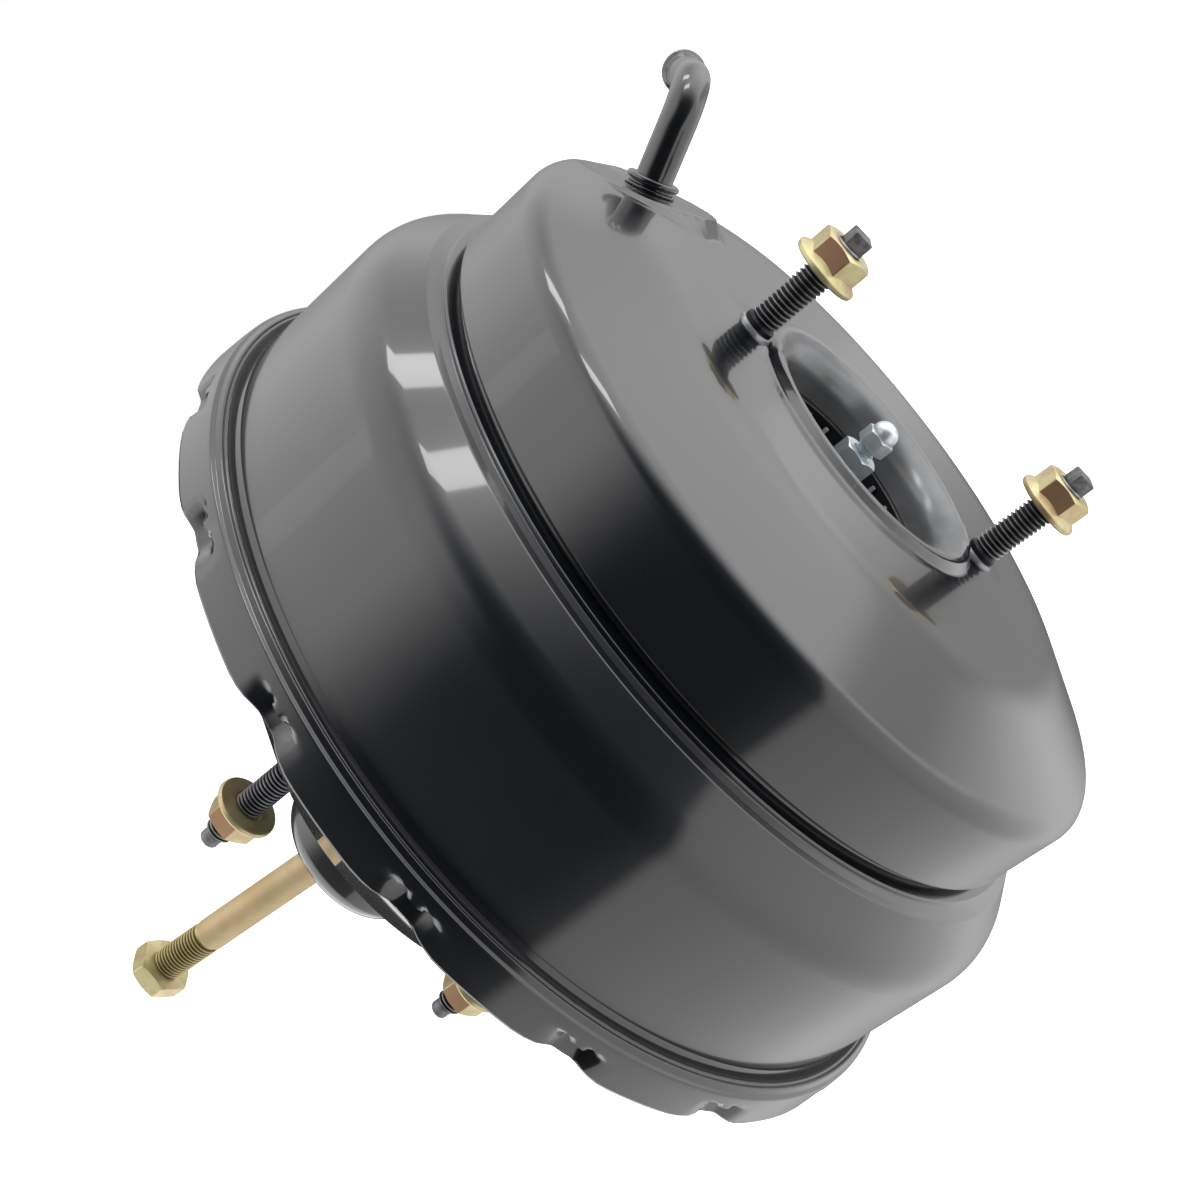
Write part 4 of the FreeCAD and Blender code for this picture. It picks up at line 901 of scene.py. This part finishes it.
def makeOutputRod():
    o = rodOut
    flangeX = o["baseX"] + o["baseWidth"]
    bm = bmesh.new()
    turnedSolid(bm, [(o["baseX"], 0, 0), (o["baseX"], o["baseR"], 0.5), (flangeX, o["baseR"], 0.5),
                     (flangeX, o["r"], 1.0), (o["hexX"] + 0.5, o["r"], 0), (o["hexX"] + 0.5, 0, 0)])
    hexBody(bm, o["hexX"], o["hexX"] + o["hexHeight"], o["hexWidth"], o["screwR"] + 0.05, 0.7, 0.7)
    makePiece(bm, "outputRod", "power_piston", ["clearZinc"], "output_rod")


def makeAdjustingScrew():
    o = rodOut
    hexEnd = o["hexX"] + o["hexHeight"]
    hexX = hexEnd + o["screwGap"]
    domeX = hexX + o["screwHexHeight"]
    bm = bmesh.new()
    threadOn(bm, hexEnd - o["screwSunk"], hexX + 0.2, o["screwR"], o["screwPitch"], o["screwDepth"], 0.2)
    hexBody(bm, hexX, domeX, o["screwHex"], 0, 0.5, 0.5, 0.25)
    turnedSolid(bm, [(domeX - 0.3, 0, 0), (domeX - 0.3, o["domeR"], 0),
                     (o["tipX"], o["domeR"], o["domeR"] * 0.92), (o["tipX"], 0, 0)], 48, coarse=8.0)
    makePiece(bm, "adjustingScrew", "length_screw", ["clearZinc"], "adjusting_screw")


makeOutputRod()
makeAdjustingScrew()


# Pedal rod and its lock nut, whose end stands a little above the axis

pedal = {
    "ballX": 23.0, "ballR": 5.0, "neckR": 3.2, "neckLength": 15.0, "r": 5.0, "end": 141.0,
    "collarX": 43.0, "collarR": 8.2, "collarWidth": 1.5, "tilt": 3.3, "pitch": 1.25, "threadDepth": 0.7,
    "threadLength": 26.0, "threadChamfer": 0.8, "nutWidth": 16.0, "nutHeight": 6.0, "nutBack": 1.5,
    "nutTurned": 10.0,
}
pedalTurn = Matrix.Rotation(math.radians(pedal["tilt"]), 3, "Y")
pedalBall = Vector((pedal["ballX"], 0, 0))


def makePedalRod():
    p = pedal
    end = p["ballX"] - p["end"]
    threadX = end + p["threadLength"]
    shankX = p["ballX"] - p["neckLength"]
    collarX = p["ballX"] - p["collarX"]
    collarBack = collarX - p["collarWidth"]
    ballFront, ballBack, ballR = p["ballX"] + p["ballR"], p["ballX"] - p["ballR"], p["ballR"]
    bm = bmesh.new()
    turnedSolid(bm, [(ballFront, 0, 0), (ballFront, ballR, ballR * 0.98), (ballBack, ballR, ballR * 0.7),
                     (ballBack, p["neckR"], 0.2), (shankX, p["neckR"], 0.5), (shankX - 3.0, p["r"], 0.8),
                     (collarX, p["r"], 0.2), (collarX, p["collarR"], 0.4), (collarBack, p["collarR"], 0.4),
                     (collarBack, p["r"], 0.3), (threadX + 1.0, p["r"], 0), (threadX - 0.2, p["r"] - 0.75, 0),
                     (threadX - 0.2, 0, 0)])
    threadOn(bm, end, threadX, p["r"], p["pitch"], p["threadDepth"], p["threadChamfer"], 36, crest=1, root=2)
    bmesh.ops.rotate(bm, verts=bm.verts, cent=pedalBall, matrix=pedalTurn)
    makePiece(bm, "pedalRod", "pedal_push_rod", ("goldRod", "goldCrest", "goldRootShade"), "pedal_rod")


def makePedalNut():
    p = pedal
    start = p["ballX"] - p["end"] + p["nutBack"]
    bm = bmesh.new()
    hexBody(bm, start, start + p["nutHeight"], p["nutWidth"], p["r"] - 0.6, 0.9, 0.9, 0.35, p["nutTurned"])
    bmesh.ops.rotate(bm, verts=bm.verts, cent=pedalBall, matrix=pedalTurn)
    makePiece(bm, "pedalLockNut", "pedal_push_rod", ["yellowZinc"], "pedal_lock_nut")


makePedalRod()
makePedalNut()


# Springs and diaphragms, as merged copies of their CAD nodes

soft = {
    "springSeatX": 0.1492, "springKeep": 0.38, "rodSpringSeatX": -0.020, "rodSpringKeep": 0.90,
    "frontFold": (0.1085, 0.1115), "rearFold": (0.0578, 0.0580),
}


def softCopy(nodeName, pieceName, finish):
    # a merged copy of a CAD node; the node itself is hidden
    bm = bmesh.new()
    bm.from_mesh(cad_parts[nodeName].data)
    bmesh.ops.remove_doubles(bm, verts=bm.verts, dist=1e-6)
    piece = dressed(meshFrom(bm, pieceName), pieceName, [finish], 40)
    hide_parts(nodeName)
    return piece


mainSpring = softCopy("main_return_spring", "mainReturnSpring", "springWire")
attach(mainSpring, "housing")
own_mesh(mainSpring)
rodSpring = softCopy("rod_return_spring", "rodReturnSpring", "springWire")
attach(rodSpring, "pedal_push_rod")
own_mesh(rodSpring)
for nodeName, pieceName, fold in (("front_diaphragm", "frontDiaphragm", soft["frontFold"]),
                                  ("rear_diaphragm", "rearDiaphragm", soft["rearFold"])):
    sheet = softCopy(nodeName, pieceName, "rubber")
    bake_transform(sheet)
print("springs and diaphragms made")


# Stage, lamps and camera

stage = {"floorZ": -0.62, "floorSize": 9.0, "floorColour": "#f2f2f0", "floorGlow": 0.75}

# Brightness of the room by direction, in steps that use the ones above them. A SLOPE goes smoothly from
# one level to another: what it reads, from, to, low and high. The others are arithmetic on two values.
# The room starts from x, y and z of the direction, and from rearward, how far it points as the camera does.
room = {
    "over": ("SLOPE", "x", 0.55, 0.1, 0, 1),                    # the wall leans over the booster
    "rise": ("SUBTRACT", "z", 0.35),
    "aboveRise": ("MAXIMUM", "rise", 0),
    "reach": ("MULTIPLY", "aboveRise", 0.7),
    "lean": ("MULTIPLY", "reach", "over"),
    "across": ("ADD", "y", "lean"),
    "paleWall": ("SLOPE", "across", -0.55, 0.12, 0.035, 0.95),  # dark behind the camera, pale beyond
    "topLight": ("SLOPE", "z", 0.45, 0.85, 0, 0.45),
    "topOver": ("MULTIPLY", "topLight", "over"),
    "topGain": ("ADD", "topOver", 1),
    "wallTop": ("MULTIPLY", "paleWall", "topGain"),
    "aheadGain": ("SLOPE", "x", 0.4, 0.95, 1, 2.3),             # brighter ahead of the booster
    "wall": ("MULTIPLY", "wallTop", "aheadGain"),
    "groundTone": ("SLOPE", "x", -0.2, 0.5, 1.0, 1.2),
    "groundEdge": ("SLOPE", "z", -0.28, -0.36, 0, 1),
    "ground": ("MULTIPLY", "groundTone", "groundEdge"),
    "wallAndGround": ("MAXIMUM", "wall", "ground"),
    "rearGain": ("SLOPE", "rearward", 0.6, 1.0, 1, 0.3),        # darker beyond the booster
    "open": ("MULTIPLY", "wallAndGround", "rearGain"),
    "dipTop": ("SLOPE", "z", -0.38, -0.48, 0, 0.5),             # a dip in the ground beyond the booster
    "dipEnd": ("SLOPE", "z", -0.72, -0.58, 0, 1),
    "dipBand": ("MULTIPLY", "dipTop", "dipEnd"),
    "dipAlong": ("SLOPE", "y", 0.0, 0.25, 0, 1),
    "dip": ("MULTIPLY", "dipBand", "dipAlong"),
    "dipKeep": ("SUBTRACT", 1, "dip"),
    "dipped": ("MULTIPLY", "open", "dipKeep"),
    "shadeAcross": ("SLOPE", "x", -0.48, -0.6, 0, 0.93),        # a shade behind the pedal side
    "shadeAlong": ("SLOPE", "y", 0.3, 0.45, 0, 1),
    "shade": ("MULTIPLY", "shadeAcross", "shadeAlong"),
    "shadeKeep": ("SUBTRACT", 1, "shade"),
    "shaded": ("MULTIPLY", "dipped", "shadeKeep"),
    "behindAcross": ("SLOPE", "x", -0.6, -0.74, 0, 1.9),        # a pale panel beside that shade
    "behindAlong": ("SLOPE", "y", 0.3, 0.45, 1, 0),
    "behind": ("MULTIPLY", "behindAcross", "behindAlong"),
    "brightness": ("MAXIMUM", "shaded", "behind"),
}


def makeFloor():
    bm = bmesh.new()
    bmesh.ops.create_grid(bm, x_segments=2, y_segments=2, size=stage["floorSize"] / 2)
    bmesh.ops.translate(bm, verts=bm.verts, vec=(0, 0, stage["floorZ"]))
    mesh = meshFrom(bm, "floor")
    # matt paper; the glow makes it white to the camera alone
    material, tree, shader = startMaterial("paleSweep")[:3]
    shader.inputs["Base Color"].default_value = hexColour(stage["floorColour"])
    shader.inputs["Roughness"].default_value = 0.9
    seen = addNode(tree, "ShaderNodeLightPath").outputs["Is Camera Ray"]
    glow = addNode(tree, "ShaderNodeMath", {"operation": "MULTIPLY", 1: stage["floorGlow"]}, {0: seen})
    tree.links.new(glow.outputs[0], shader.inputs["Emission Strength"])
    shader.inputs["Emission Color"].default_value = (1, 1, 1, 1)
    mesh.materials.append(material)
    floor = objectFrom("floor", mesh)
    floor.visible_glossy = False


def makeWorld():
    # a soft studio: pale wall ahead of the booster, dark room behind the camera, grey ground below
    world = bpy.data.worlds.new("studio")
    scene.world = world
    world.use_nodes = True
    tree = world.node_tree
    direction = addNode(tree, "ShaderNodeTexCoord").outputs["Generated"]
    levels = dict(zip("xyz", addNode(tree, "ShaderNodeSeparateXYZ", None, {0: direction}).outputs))
    levels["rearward"] = addNode(tree, "ShaderNodeVectorMath", {"operation": "DOT_PRODUCT", 1: view["ahead"]},
                                 {0: direction}).outputs["Value"]
    for name, (operation, first, second, *others) in room.items():
        if others:
            end, low, high = others
            step = addNode(tree, "ShaderNodeMapRange",
                           {"interpolation_type": "SMOOTHSTEP", "From Min": second, "From Max": end,
                            "To Min": low, "To Max": high}, {"Value": levels[first]})
        else:
            sides = {0: first, 1: second}
            numbers = {side: value for side, value in sides.items() if value not in levels}
            names = {side: levels[value] for side, value in sides.items() if value in levels}
            step = addNode(tree, "ShaderNodeMath", {"operation": operation, **numbers}, names)
        levels[name] = step.outputs[0]
    seen = addNode(tree, "ShaderNodeLightPath").outputs["Is Camera Ray"]
    strength = addNode(tree, "ShaderNodeMix", {"data_type": "FLOAT", 3: 1.0},
                       {0: seen, 2: levels["brightness"]})
    background = tree.nodes["Background"]
    tree.links.new(strength.outputs[0], background.inputs["Strength"])
    background.inputs["Color"].default_value = (1, 1, 1, 1)


# soft boxes, each named for where it stands; level is the brightness of its face beside the wall's 1
lamps = {
    "boxAhead": {"towards": (0.505, 0.405, 0.762), "distance": 1.47, "size": (0.5, 0.2), "level": 5.4},
    "boxHigh": {"towards": (0.69, 0.02, 0.72), "distance": 1.47, "size": (0.5, 0.2), "level": 6.0},
    "stripOver": {"towards": (-0.42, 0.13, 0.9), "distance": 1.5, "size": (0.5, 0.22), "level": 0.25},
    "fillNear": {"towards": (0.66, -0.68, 0.32), "distance": 1.3, "size": (0.7, 0.5), "level": 2.4,
                 "matt": True},
}
lampAim = Vector((0.08, 0, 0))


def makeLamp(name, lamp):
    # a rectangle that faces the booster, its long side lying along the booster's axis
    data = bpy.data.lights.new(name, "AREA")
    data.shape = "RECTANGLE"
    data.size, data.size_y = lamp["size"]
    data.energy = lamp["level"] * math.pi * data.size * data.size_y
    away = Vector(lamp["towards"]).normalized()
    long = (booster - away * booster.dot(away)).normalized()
    turn = Matrix((long, away.cross(long), away)).transposed().to_4x4()
    light = objectFrom(name, data)
    light.matrix_world = Matrix.Translation(lampAim + away * lamp["distance"]) @ turn
    light.visible_glossy = not lamp.get("matt", False)


view = {
    "lens": 51.233, "sensor": 36.0, "place": (252.03, -367.07, 164.12),
    "right": (0.71434622, 0.05464944, -0.6976553), "up": (0.57030482, 0.53227992, 0.62564407),
    "ahead": (-0.40553901, 0.84480265, -0.34906531),
}


def makeCamera():
    data = bpy.data.cameras.new("photoCamera")
    data.lens = view["lens"]
    data.sensor_width = view["sensor"]
    data.clip_start = 0.01
    camera = objectFrom("photoCamera", data)
    turn = Matrix((view["right"], view["up"], [-a for a in view["ahead"]])).transposed()
    camera.matrix_world = Matrix.Translation(Vector(view["place"]) * mm) @ turn.to_4x4()
    scene.camera = camera


makeFloor()
makeWorld()
for lampName, lamp in lamps.items():
    makeLamp(lampName, lamp)
makeCamera()
scene.view_settings.view_transform = "Standard"
print("stage set")
